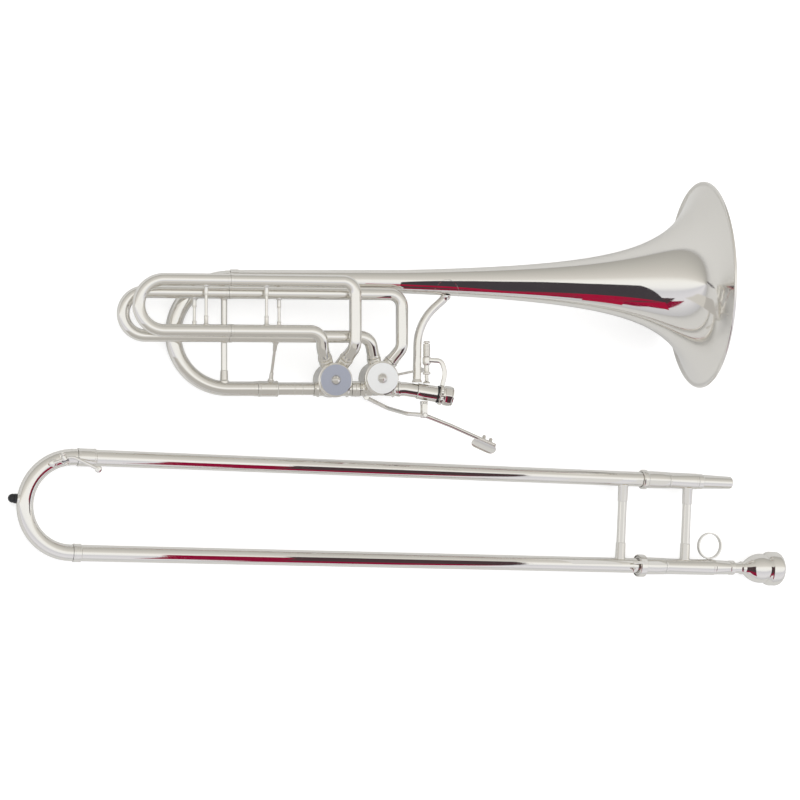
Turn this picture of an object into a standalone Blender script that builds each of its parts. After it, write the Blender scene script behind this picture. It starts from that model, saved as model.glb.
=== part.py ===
"""Bass trombone with two rotary valves, taken apart: the bell section lies beside the hand slide.

Every size below is in millimetres and MM turns it into metres. Each section has its own frame, an empty:
the bell section's x runs along the bell's axis with its origin at the centre of the mouth, and the slide
section's x runs along the slide tubes, midway between them, towards the mouthpiece.
"""

import math

import bmesh
import bpy
from mathutils import Matrix, Vector

MM = 0.001

# Where the two sections lie on the table
BELL_PLACE = (303.62, 119.54, 115.65)
BELL_TILT = math.radians(10.25)
SLIDE_PLACE = (-25.68, -141.76, 14.363)
SLIDE_TILT = math.radians(0.732)
SLIDE_YAW = math.radians(-2.8)

# Running gap between pieces that touch on the real instrument
GAP = 0.3

# Bell
MOUTH_RADIUS = 116.5
FLARE_LENGTH = 49.0
FLARE_POWER = 1.05
BELL_WALL = 0.9
RIM_BEAD = 2.0
FLARE_JOINT_X = -196.0
STEM_STRAIGHT_X = -350.0
STEM_END_X = -538.5
STEM_END_RADIUS = 10.6

# Main tuning slide and the lower main line
LINE_Y = -119.0
CROOK_X = -538.5
CROOK_LEAD = 2.0
CROOK_WIDE = 9.8
CROOK_NARROW = 8.0
TUNING_LEG_WIDE = 8.6
TUNING_LEG_NARROW = 5.5
TUNING_LEG_END_X = -452.0
LINE_RADIUS = 7.0
LINE_BORE = 6.0

# Valves
VALVE_RADIUS = 19.0
VALVE_BORE = 17.3
VALVE_HALF_HEIGHT = 22.0
ROTOR_RADIUS = 16.9
CAP_RADIUS = 16.6
ARM_REACH = 11.0
VALVE_1 = Vector((-374.0, -107.5, 0.0))
VALVE_2 = Vector((-425.5, -109.5, 0.0))

# Valve loops
LOOP_RADIUS = 6.8
LOOP_BORE = 5.7
LOOP_LEG = 5.2
LOOP_JOINT_X = -541.7
LOOP_LEG_END_X = -470.0
BACK_PORT_LENGTH = 18.0
FRONT_PORT_LENGTH = 27.0
SHOULDER = 0.05

# Hand slide
HALF_SPACING = 51.0
OUTER_RADIUS = 8.7
OUTER_BORE = 7.9
INNER_RADIUS = 7.5
INNER_BORE = 6.7
SLIDE_CROOK_X = -370.0
OUTER_END_X = 311.0
BARREL_X = 302.0
BARREL_END_X = 337.0
FERRULE_END_X = 376.0
TENON_END_X = 422.0
RECEIVER_END_X = 431.0
MOUTHPIECE_RIM = 20.5
LOCK_POST_X = 293.0
LOCK_POST_ANGLE = 115.0
DRAIN_ANGLE = math.radians(120)
KEY_HINGE_ANGLE = math.radians(106)

# Facets round a full turn
BELL_STEPS = 40
DRUM_STEPS = 20
TUBE_STEPS = 14
PIN_STEPS = 8
ARC_STEP = math.radians(18.0)


def clear_scene():
    for old in list(bpy.data.objects):
        bpy.data.objects.remove(old, do_unlink=True)


def new_collection(name):
    made = bpy.data.collections.new(name)
    bpy.context.scene.collection.children.link(made)
    return made


def metal(name, colour, roughness, metallic):
    """A Principled material: name, linear colour, roughness and how metallic it is."""
    made = bpy.data.materials.new(name)
    made.use_nodes = True
    shader = made.node_tree.nodes["Principled BSDF"]
    shader.inputs["Base Color"].default_value = (*colour, 1.0)
    shader.inputs["Roughness"].default_value = roughness
    shader.inputs["Metallic"].default_value = metallic
    return made


def section(name, place, tilt, yaw):
    """The empty that carries one section, tilted up towards +x and turned about the vertical."""
    made = bpy.data.objects.new(name, None)
    trombone.objects.link(made)
    made.location = Vector(place) * MM
    made.rotation_euler = (0.0, -tilt, yaw)
    return made


def add(name, data, parent, material, helper=False):
    """Links a new object for this mesh or curve under its section."""
    made = bpy.data.objects.new(name, data)
    (helpers if helper else trombone).objects.link(made)
    made.parent = parent
    if material is not None:
        data.materials.append(material)
    if helper:
        made.hide_render = True
        made.display_type = "WIRE"
    return made


def shade(mesh):
    mesh.shade_smooth()
    mesh.set_sharp_from_angle(angle=math.radians(35.0))


def turned(name, profile, parent, material, at=(0, 0, 0), along=(1, 0, 0), steps=TUBE_STEPS, helper=False):
    """A turned piece: profile points are (distance along the axis, radius), spun about that axis.

    A profile that starts and ends on the axis makes a solid; any other is closed into a ring or a tube.
    """
    area = sum(
        s0 * r1 - s1 * r0 for (s0, r0), (s1, r1) in zip(profile, profile[1:] + profile[:1])
    )
    ordered = profile if area > 0 else profile[::-1]
    solid = ordered[0][1] == 0 and ordered[-1][1] == 0
    shape = bmesh.new()
    points = [shape.verts.new((r * MM, 0.0, s * MM)) for s, r in ordered]
    for start, end in zip(points, points[1:]):
        shape.edges.new((start, end))
    if not solid:
        shape.edges.new((points[-1], points[0]))
    mesh = bpy.data.meshes.new(name)
    shape.to_mesh(mesh)
    shape.free()
    made = add(name, mesh, parent, material, helper)
    made.location = Vector(at) * MM
    made.rotation_euler = Vector(along).to_track_quat("Z", "Y").to_euler()
    spin = made.modifiers.new("spin", "SCREW")
    spin.angle = math.tau
    spin.steps = steps
    spin.render_steps = steps
    spin.use_merge_vertices = True
    spin.merge_threshold = 0.00005
    spin.use_smooth_shade = True
    return made


def ring(inner, outer, start, end, chamfer=0.4):
    """Profile of a sleeve with its outer edges eased."""
    return [
        (start, inner),
        (start, outer - chamfer),
        (start + chamfer, outer),
        (end - chamfer, outer),
        (end, outer - chamfer),
        (end, inner),
    ]


def pin(radius, start, end, chamfer=0.3):
    """Profile of a solid pin with eased ends."""
    return [
        (start, 0.0),
        (start, radius - chamfer),
        (start + chamfer, radius),
        (end - chamfer, radius),
        (end, radius - chamfer),
        (end, 0.0),
    ]


def rounded(points, radius):
    """A path through these corners with every corner turned into an arc of this radius."""
    points = [Vector(p) for p in points]
    path = [points[0]]
    for before, corner, after in zip(points, points[1:], points[2:]):
        inward = (corner - before).normalized()
        outward = (after - corner).normalized()
        turn = inward.angle(outward)
        if turn < 0.02:
            path.append(corner)
            continue
        centre = corner + (outward - inward).normalized() * (radius / math.cos(turn / 2))
        start = corner - inward * (radius * math.tan(turn / 2)) - centre
        axis = inward.cross(outward).normalized()
        count = max(2, round(turn / ARC_STEP))
        for i in range(count + 1):
            step = centre + Matrix.Rotation(turn * i / count, 3, axis) @ start
            if (step - path[-1]).length > 0.05:
                path.append(step)
    if (points[-1] - path[-1]).length > 0.05:
        path.append(points[-1])
    return path


def bent_tube(name, path, radius, parent, material, origin=(0, 0, 0), sides=3, helper=False):
    """A tube bent along a path. radius is one size, or a function of the point that gives it."""
    origin = Vector(origin)
    curve = bpy.data.curves.new(name, "CURVE")
    curve.dimensions = "3D"
    curve.bevel_depth = MM
    curve.bevel_resolution = sides
    curve.use_fill_caps = True
    curve.resolution_u = 1
    spline = curve.splines.new("POLY")
    spline.points.add(len(path) - 1)
    for spot, place in zip(spline.points, path):
        spot.co = (*((place - origin) * MM), 1.0)
        spot.radius = radius(place) if callable(radius) else radius
    made = add(name, curve, parent, material, helper)
    made.location = origin * MM
    return made


def as_mesh(thing):
    """The same piece as a mesh with its caps welded, so that a Boolean can work on it."""
    bpy.context.view_layer.update()
    graph = bpy.context.evaluated_depsgraph_get()
    mesh = bpy.data.meshes.new_from_object(thing.evaluated_get(graph))
    shape = bmesh.new()
    shape.from_mesh(mesh)
    bmesh.ops.remove_doubles(shape, verts=shape.verts, dist=0.00002)
    shape.to_mesh(mesh)
    shape.free()
    shade(mesh)
    name, parent, home = thing.name, thing.parent, thing.users_collection[0]
    local = thing.matrix_local.copy()
    hidden = thing.hide_render
    bpy.data.objects.remove(thing, do_unlink=True)
    made = bpy.data.objects.new(name, mesh)
    home.objects.link(made)
    made.parent = parent
    made.matrix_local = local
    made.hide_render = hidden
    return made


def box(name, size, at, parent, material, helper=False, turn=0.0, bevel=0.0):
    """A block of this size centred at this place, turned about z, with its edges eased."""
    shape = bmesh.new()
    bmesh.ops.create_cube(shape, size=1.0)
    bmesh.ops.scale(shape, vec=Vector(size) * MM, verts=shape.verts)
    mesh = bpy.data.meshes.new(name)
    shape.to_mesh(mesh)
    shape.free()
    made = add(name, mesh, parent, material, helper)
    made.location = Vector(at) * MM
    made.rotation_euler = (0.0, 0.0, turn)
    if bevel:
        ease = made.modifiers.new("ease", "BEVEL")
        ease.width = bevel * MM
        ease.segments = 1
    return made


def boolean(piece, operation, other):
    step = piece.modifiers.new(operation.lower(), "BOOLEAN")
    step.operation = operation
    step.object = other
    step.solver = "EXACT"
    other.hide_render = True
    other.display_type = "WIRE"
    return piece


def flare_radius(x):
    """Outer radius of the bell at x, a horn curve that opens fast towards the mouth."""
    return MOUTH_RADIUS * (1 - x / FLARE_LENGTH) ** -FLARE_POWER


def stem_radius(x):
    """Outer radius of the bell's stem, straight-sided behind STEM_STRAIGHT_X."""
    if x > STEM_STRAIGHT_X:
        return flare_radius(x)
    share = (STEM_STRAIGHT_X - x) / (STEM_STRAIGHT_X - STEM_END_X)
    return flare_radius(STEM_STRAIGHT_X) * (1 - share) + STEM_END_RADIUS * share


def horn_wall(stations, outer_of, wall):
    """Closed profile of a thin horn: out along the outside, back along the inside."""
    outside = [(x, outer_of(x)) for x in stations]
    inside = [(x, outer_of(x) - wall) for x in reversed(stations)]
    return outside + inside


def make_bell():
    flare_stations = [FLARE_JOINT_X + GAP, -150, -110, -78, -53, -34, -20, -10, -3.5]
    profile = [(x, flare_radius(x)) for x in flare_stations]
    bead = [(-RIM_BEAD, MOUTH_RADIUS + 0.6), (0.6, MOUTH_RADIUS + 1.0), (1.2, MOUTH_RADIUS - 0.5)]
    inside = [(x + 0.6, flare_radius(x) - 1.6) for x in reversed(flare_stations[4:])]
    inside += [(x, flare_radius(x) - BELL_WALL - 0.2) for x in reversed(flare_stations[:4])]
    turned("bell_flare", profile + bead + inside, bell, silver, steps=BELL_STEPS)
    band_end = STEM_END_X + 9.0
    band = [(STEM_END_X, STEM_END_RADIUS + 0.7), (band_end, STEM_END_RADIUS + 0.8)]
    stem_stations = [band_end + 0.2, -430, STEM_STRAIGHT_X, -300, -250, FLARE_JOINT_X]
    stem = horn_wall(stem_stations, stem_radius, BELL_WALL) + [(STEM_END_X, STEM_END_RADIUS - BELL_WALL)]
    turned("bell_stem", band + stem, bell, silver, steps=DRUM_STEPS)
    stations = [-316, -308, -299, -290, -282]
    saddle = turned(
        "bell_brace_flange",
        horn_wall(stations, lambda x: flare_radius(x) + GAP + 1.1, 1.1),
        bell,
        silver,
        steps=BELL_STEPS,
    )
    outline = cutter("flange_outline", pin(14.5, 3.0, 30.0), (-299, 0, 0), (0, -1, 0))
    boolean(saddle, "INTERSECT", outline)


def make_tuning_slide():
    """Main tuning slide: a conical crook whose two legs run inside the bell stem and the lower line."""
    half = -LINE_Y / 2
    shoulder_wide = CROOK_X - GAP
    corner_x = shoulder_wide - CROOK_LEAD - half
    shoulder_narrow = -508.0 - GAP

    def radius(place):
        if place.y > -0.1 and place.x > shoulder_wide:
            return TUNING_LEG_WIDE
        if place.y < LINE_Y + 0.1 and place.x > shoulder_narrow:
            return TUNING_LEG_NARROW
        return CROOK_WIDE + (CROOK_NARROW - CROOK_WIDE) * min(1.0, max(0.0, place.y / LINE_Y))

    corners = [
        (TUNING_LEG_END_X, 0, 0),
        (shoulder_wide + SHOULDER, 0, 0),
        (shoulder_wide, 0, 0),
        (corner_x, 0, 0),
        (corner_x, LINE_Y, 0),
        (shoulder_narrow, LINE_Y, 0),
        (shoulder_narrow + SHOULDER, LINE_Y, 0),
        (TUNING_LEG_END_X, LINE_Y, 0),
    ]
    straight_ends = [Vector(corners[0]), Vector(corners[1])]
    arc = rounded([corners[2], corners[3], corners[4], corners[5]], half)
    path = straight_ends + arc + [Vector(corners[6]), Vector(corners[7])]
    bent_tube("tuning_slide_crook", path, radius, bell, silver)
    top, bottom = -CROOK_WIDE - 1.7, LINE_Y + CROOK_NARROW + 1.7
    brace("tuning_slide_brace", (-545, top, 0), (-545, bottom, 0), 3.4, 4.4, bell)
    sleeve = [
        (-508, LINE_BORE),
        (-508, 8.6),
        (-507.3, 8.9),
        (-487, 8.9),
        (-486.3, 8.4),
        (-486, LINE_RADIUS),
        (-446.5 - GAP, LINE_RADIUS),
        (-446.5 - GAP, LINE_BORE),
    ]
    turned("lower_line_tube", sleeve, bell, silver, at=(0, LINE_Y, 0))


def brace(name, start, end, radius, foot, parent, foot_length=11.0, steps=PIN_STEPS, helper=False):
    """A straight brace with a stepped foot at each end."""
    start, end = Vector(start), Vector(end)
    span = (end - start).length
    profile = [
        (0, 0),
        (0, foot + 0.8),
        (1.6, foot),
        (foot_length, foot - 0.3),
        (foot_length + 0.6, radius),
    ]
    mirrored = [(span - s, r) for s, r in reversed(profile)]
    material = None if helper else silver
    return turned(
        name, profile + mirrored, parent, material, at=start, along=end - start, steps=steps, helper=helper
    )


def cutter(name, profile, at, along, steps=TUBE_STEPS, parent=None):
    """A hidden turned shape, in the bell section unless told otherwise, that a Boolean adds or takes away."""
    return turned(name, profile, parent or bell, None, at=at, along=along, steps=steps, helper=True)


def port(name, start, end, radius):
    """A short pipe stub that is fused to a valve casing."""
    start, end = Vector(start), Vector(end)
    return cutter(name, pin(radius, 0, (end - start).length), start, end - start)


def port_end(root, corner, length, past=0.0):
    """The end of a loop port, or the point this far past it, on its way to the loop's corner."""
    root, corner = Vector(root), Vector(corner)
    return root + (corner - root).normalized() * (length + past)


def make_valve(number, centre, loop_ports, rest_angle, stud_top):
    """One rotary valve: casing with its four ports, rotor, bearing plate, cap and stop arm.

    Each loop port is (its root inside the casing, the corner of the loop that it points to, its length).
    """
    name = f"valve_{number}"
    half = VALVE_HALF_HEIGHT
    up = (0, 0, 1)
    body = pin(VALVE_RADIUS, -half, half, 0.8)
    casing = turned(f"{name}_casing", body, bell, silver, at=centre, along=up, steps=DRUM_STEPS)
    reach = 21.0
    stubs = [
        port(f"{name}_port_in", (centre.x, LINE_Y, 0), (centre.x + reach, LINE_Y, 0), 8.0),
        port(f"{name}_port_out", (centre.x, LINE_Y, 0), (centre.x - reach, LINE_Y, 0), 8.0),
    ]
    for i, loop_port in enumerate(loop_ports):
        stubs.append(port(f"{name}_loop_port_{i + 1}", loop_port[0], port_end(*loop_port), 7.7))
    stop = [(centre + Vector((0, 0, -half - 3.2))), (centre + Vector((0, 0, -half + 1.0)))]
    stubs.append(port(f"{name}_stop_plate", stop[0], stop[1], 14.0))
    for stub in stubs:
        boolean(casing, "UNION", stub)
    bore = pin(VALVE_BORE, -half + 3.0, half + 5.0, 0.2)
    chamber = cutter(f"{name}_chamber", bore, centre, up, steps=DRUM_STEPS)
    spindle_hole = cutter(f"{name}_spindle_hole", pin(4.5, -half - 8.0, -half + 6.0, 0.2), centre, up)
    boolean(casing, "DIFFERENCE", chamber)
    boolean(casing, "DIFFERENCE", spindle_hole)

    rotor_profile = [
        (-half - 3.6, 0),
        (-half - 3.6, 4.1),
        (-half + 3.4, 4.1),
        (-half + 3.4, ROTOR_RADIUS),
        (half - 5.6, ROTOR_RADIUS),
        (half - 5.6, 3.6),
        (half - 1.6, 3.6),
        (half - 1.6, 0),
    ]
    rotor = turned(f"{name}_rotor", rotor_profile, bell, silver, at=centre, along=up, steps=DRUM_STEPS)
    for side in (-1, 1):
        beside = centre + Vector((0, side * 12.5, 0))
        side_name = "a" if side < 0 else "b"
        passage = cutter(f"{name}_passage_{side_name}", pin(6.4, -40, 40, 0.2), beside, (1, 0, 0))
        boolean(rotor, "DIFFERENCE", passage)

    low, high = half - 5.2, half - 1.0
    wide = VALVE_BORE - GAP
    plate = [(low, 4.0), (low, wide), (high, wide), (high, 4.0)]
    turned(f"{name}_bearing_plate", plate, bell, silver, at=centre, along=up, steps=DRUM_STEPS)
    cap_profile = [
        (half - 0.6, 0),
        (half - 0.6, VALVE_BORE - GAP),
        (half + GAP, VALVE_BORE - GAP),
        (half + GAP, CAP_RADIUS + 1.1),
        (half + 4.2, CAP_RADIUS + 1.1),
        (half + 5.0, CAP_RADIUS + 0.3),
        (half + 5.0, 5.0),
        (half + 7.8, 3.4),
        (half + 9.4, 1.6),
        (half + 9.6, 0),
    ]
    turned(f"{name}_cap", cap_profile, bell, silver, at=centre, along=up, steps=DRUM_STEPS)

    level = -half - 3.9
    hub = turned(
        f"{name}_stop_arm", pin(5.2, level - 4.0, level), bell, silver, at=centre, along=up, steps=TUBE_STEPS
    )
    reach_way = Vector((math.cos(rest_angle), math.sin(rest_angle), 0))
    tip = centre + reach_way * ARM_REACH
    blade = box(
        f"{name}_arm_blade",
        (ARM_REACH + 4.0, 5.0, 2.6),
        centre + reach_way * (ARM_REACH / 2) + Vector((0, 0, level - 2.0)),
        bell,
        None,
        helper=True,
        turn=rest_angle,
    )
    stud = cutter(f"{name}_arm_stud", pin(2.1, stud_top, level - 1.0, 0.2), tip, up, steps=PIN_STEPS)
    boolean(hub, "UNION", blade)
    boolean(hub, "UNION", stud)


def make_neck():
    """Neck pipe from the first valve to the slide receiver, with the lock nut on its mouth."""
    slope = Vector((math.cos(math.radians(-9)), math.sin(math.radians(-9)), 0))
    start = Vector((VALVE_1.x + 21.0 + GAP, LINE_Y, 0))
    bend = start + Vector((8.0, 0, 0))
    foot = bend + slope * 14.0
    path = rounded([start, bend, foot], 20.0)
    bent_tube("neck_pipe", path, 7.6, bell, silver)
    base = foot + slope * GAP
    receiver = [
        (0, 7.0),
        (0, 8.2),
        (1.0, 8.7),
        (22.5, 9.0),
        (23.5, 8.3),
        (38.0, 8.3),
        (38.0, 7.5),
    ]
    turned("slide_receiver", receiver, bell, silver, at=base, along=slope, steps=TUBE_STEPS)
    nut = [
        (25.0, 8.3 + 2 * GAP),
        (25.0, 9.4),
        (26.0, 10.8),
        (28.5, 11.4),
        (30.5, 10.6),
        (33.0, 10.8),
        (39.5, 11.2),
        (40.6, 10.2),
        (40.6, 8.3 + 2 * GAP),
    ]
    turned("receiver_lock_nut", nut, bell, silver, at=base, along=slope, steps=TUBE_STEPS)
    return base, slope


def above_neck(neck_base, slope, x, half_width):
    """The y at which a piece this wide can stand on the neck at x."""
    middle = neck_base.y + slope.y / slope.x * (x - neck_base.x)
    return middle + (9.0 + GAP) / slope.x + half_width * abs(slope.y / slope.x)


def make_hand_brace(neck_base, slope):
    """The bent brace that the left hand holds, from the bell's flange down to the neck."""
    radius = 4.5
    top = -flare_radius(-299) - 1.7 - 2 * GAP
    foot = above_neck(neck_base, slope, -330.5, radius)
    path = rounded([(-300.0, top, 0), (-300.5, -26.0, 0), (-329.6, -52.0, 0), (-330.5, foot, 0)], 18.0)
    bent_tube("hand_brace", path, radius, bell, silver)


def make_loop(name, upper, lower, crook_x, z, upper_corners, lower_corners, brace_xs):
    """One valve loop: two fixed tubes, and a tuning crook whose legs run inside them."""
    half = (upper - lower) / 2
    for part, y, corners in (("upper", upper, upper_corners), ("lower", lower, lower_corners)):
        path = rounded([(LOOP_JOINT_X, y, z)] + corners, 14.0)
        fixed = as_mesh(bent_tube(f"{name}_{part}_tube", path, LOOP_RADIUS, bell, silver))
        inside = pin(LOOP_BORE, LOOP_JOINT_X - 5.0, LOOP_LEG_END_X + 3.0)
        bore = cutter(f"{name}_{part}_bore", inside, (0, y, z), (1, 0, 0))
        boolean(fixed, "DIFFERENCE", bore)
    shoulder = LOOP_JOINT_X - GAP

    def crook_radius(place):
        return LOOP_LEG if place.x > shoulder + SHOULDER / 2 else LOOP_RADIUS

    arc = rounded(
        [
            (shoulder, upper, z),
            (crook_x - half, upper, z),
            (crook_x - half, lower, z),
            (shoulder, lower, z),
        ],
        half,
    )
    legs = [
        [Vector((LOOP_LEG_END_X, upper, z)), Vector((shoulder + SHOULDER, upper, z))],
        [Vector((shoulder + SHOULDER, lower, z)), Vector((LOOP_LEG_END_X, lower, z))],
    ]
    crook = as_mesh(bent_tube(f"{name}_crook", legs[0] + arc + legs[1], crook_radius, bell, silver))
    crook_brace_x, tube_brace_x = brace_xs
    loop_brace(f"{name}_tube_brace", tube_brace_x, upper, lower, z, GAP)
    rod = loop_brace(f"{name}_crook_brace", crook_brace_x, upper, lower, z, -1.5, helper=True)
    boolean(crook, "UNION", rod)


def loop_brace(name, x, upper, lower, z, clearance, helper=False):
    """A thin rod across a valve loop at x, with a foot on each tube."""
    start = (x, upper - LOOP_RADIUS - clearance, z)
    end = (x, lower + LOOP_RADIUS + clearance, z)
    return brace(name, start, end, 1.7, 2.4, bell, foot_length=9.0, steps=PIN_STEPS, helper=helper)


def make_levers(neck_base, slope):
    """Two thumb levers with their links. Lever 1 rocks on a saddle; lever 2 turns on a post."""
    pivot = Vector((-322.6, -148.0, 0.0))
    neck_y = neck_base.y + slope.y / slope.x * (pivot.x - neck_base.x)
    saddle_top = neck_y - 9.0 / slope.x - GAP - 0.6
    web = box("lever_1_saddle", (7.0, 4.0, 12.0), (pivot.x, saddle_top - 2.0, 0), bell, silver)
    for side in (-1, 1):
        ear = box(
            f"saddle_ear_{'back' if side < 0 else 'front'}",
            (6.0, saddle_top - pivot.y + 3.0, 2.2),
            (pivot.x, (saddle_top + pivot.y - 3.0) / 2, side * 4.9),
            bell,
            None,
            helper=True,
        )
        boolean(web, "UNION", ear)
    hinge_hole = cutter("saddle_pin_hole", pin(1.6, -12, 12), pivot, (0, 0, 1), steps=PIN_STEPS)
    boolean(web, "DIFFERENCE", hinge_hole)
    turned(
        "lever_1_pivot_screw",
        [(-7.4, 0), (-7.4, 1.3), (6.4, 1.3), (6.4, 2.6), (8.0, 2.6), (8.4, 2.0), (8.4, 0)],
        bell,
        silver,
        at=pivot,
        along=(0, 0, 1),
        steps=PIN_STEPS,
    )
    tail = Vector((VALVE_1.x - ARM_REACH * math.sqrt(0.5), -128.0, -40.0))
    path = rounded(
        [
            tail,
            (-357.0, -140.5, -36.0),
            (-341.0, -146.5, -6.0),
            pivot,
            (-292.0, -160.0, 0),
            (-246.0, -180.3, 0),
        ],
        9.0,
    )
    arm = as_mesh(bent_tube("thumb_lever_1", path, 2.3, bell, silver, origin=pivot, sides=2))
    up = (0, 0, 1)
    hub = cutter("lever_1_hub", pin(3.3, -3.4, 3.4), pivot, up)
    stud = cutter("lever_1_stud", pin(2.1, -40.0, -36.5, 0.2), (tail.x, tail.y, 0), up, steps=PIN_STEPS)
    plate = [(-1.3, 0), (-1.3, 8.6), (-0.6, 9.6), (1.2, 9.6), (1.6, 8.8), (1.9, 0)]
    paddle = cutter("lever_1_paddle", plate, (-243.0, -181.5, 0), (-0.42, -1.0, 0))
    for piece in (hub, stud, paddle):
        boolean(arm, "UNION", piece)
    bore = cutter("lever_1_bore", pin(1.6, -12, 12), pivot, up, steps=PIN_STEPS)
    boolean(arm, "DIFFERENCE", bore)
    stud_y = VALVE_1.y + ARM_REACH * math.sqrt(0.5)
    link(
        "link_1",
        Vector((tail.x, stud_y, -34.0)),
        Vector((tail.x, tail.y, -34.0)),
    )

    axis_x = -319.5
    foot = above_neck(neck_base, slope, axis_x, 4.2)
    turned(
        "lever_2_post",
        [(foot, 0), (foot, 4.2), (foot + 2.4, 2.0), (-68.0, 2.0), (-68.0, 3.6), (-66.2, 3.2), (-65.6, 0)],
        bell,
        silver,
        at=(axis_x, 0, 0),
        along=(0, 1, 0),
        steps=TUBE_STEPS,
    )
    barrel = turned(
        "thumb_lever_2",
        ring(2.4, 4.5, -103.0, -68.6),
        bell,
        silver,
        at=(axis_x, 0, 0),
        along=(0, 1, 0),
        steps=TUBE_STEPS,
    )
    strap_path = rounded(
        [(axis_x + 3.2, -86.0, 1.0), (-301.0, -87.0, 4.0), (-297.5, -104.0, 7.0)], 9.0
    )
    strap = as_mesh(bent_tube("lever_2_strap", strap_path, 2.3, bell, None, sides=2, helper=True))
    pad = [(-1.2, 0), (-1.2, 6.6), (-0.4, 7.4), (1.0, 7.4), (1.6, 6.6), (1.8, 0)]
    touch = cutter("lever_2_touch", pad, (-297.0, -103.5, 8.0), (0.25, 0.0, 1.0))
    crank = cutter("lever_2_crank", pin(2.2, 3.0, 36.4), (axis_x, -97.5, 0), (0, 0, -1), steps=PIN_STEPS)
    for piece in (strap, touch, crank):
        boolean(barrel, "UNION", piece)
    arm_tip = VALVE_2 + Vector((ARM_REACH * math.sqrt(0.5), -ARM_REACH * math.sqrt(0.5), 0))
    link("link_2", Vector((arm_tip.x, arm_tip.y, -38.6)), Vector((axis_x, -97.5, -38.6)))


def link(name, start, end):
    """A connecting rod with a round cup at each end, whose cups face the studs that they follow."""
    rod = turned(
        name, pin(1.4, 1.5, (end - start).length - 1.5), bell, silver, at=start, along=end - start, steps=PIN_STEPS
    )
    for i, spot in enumerate((start, end)):
        cup = cutter(f"{name}_cup_{i + 1}", pin(3.2, -1.8, 1.8), spot, (0, 0, 1))
        boolean(rod, "UNION", cup)


def make_bell_section():
    make_bell()
    make_tuning_slide()
    front_z, back_z = 37.5, 18.5
    back_in = ((-377.0, -101.0, 4.0), (-387.0, -62.0, back_z), BACK_PORT_LENGTH)
    back_out = ((-371.0, -101.0, 4.0), (-351.0, -74.0, back_z), BACK_PORT_LENGTH)
    front_in = ((-429.5, -102.0, 1.0), (-441.0, -76.0, 31.0), FRONT_PORT_LENGTH)
    front_out = ((-421.5, -101.0, 1.0), (-406.0, -73.0, front_z), FRONT_PORT_LENGTH)
    make_valve(1, VALVE_1, (back_in, back_out), math.radians(135), -31.6)
    make_valve(2, VALVE_2, (front_in, front_out), math.radians(-45), -36.4)
    coupling = [
        (VALVE_2.x + 21.0 + GAP, LINE_BORE),
        (VALVE_2.x + 21.0 + GAP, 8.6),
        (VALVE_1.x - 21.0 - GAP, 8.6),
        (VALVE_1.x - 21.0 - GAP, LINE_BORE),
    ]
    turned("valve_coupling", coupling, bell, silver, at=(0, LINE_Y, 0))
    neck_base, slope = make_neck()
    make_hand_brace(neck_base, slope)
    make_loop(
        "front_loop",
        -2.5,
        -57.0,
        -612.4,
        front_z,
        [(-406.0, -2.5, front_z), front_out[1], port_end(*front_out, GAP)],
        [(-443.0, -57.0, front_z), front_in[1], port_end(*front_in, GAP)],
        (-568.0, -503.0),
    )
    make_loop(
        "back_loop",
        -15.0,
        -62.0,
        -631.7,
        back_z,
        [(-351.0, -15.0, back_z), back_out[1], port_end(*back_out, GAP)],
        [back_in[1], port_end(*back_in, GAP)],
        (-579.0, -487.0),
    )
    brace(
        "line_brace",
        (-490.5, -62.0 - LOOP_RADIUS - 0.5, back_z * 0.82),
        (-494.0, LINE_Y + 8.9 + 0.8, 1.2),
        1.6,
        2.4,
        bell,
        foot_length=9.0,
        steps=PIN_STEPS,
    )
    make_levers(neck_base, slope)


def slide_tube(name, inner, outer, start, end, y, material):
    """A plain tube on one leg of the slide."""
    profile = [(start, inner), (start, outer), (end, outer), (end, inner)]
    return turned(name, profile, slide, material, at=(0, y, 0))


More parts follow.
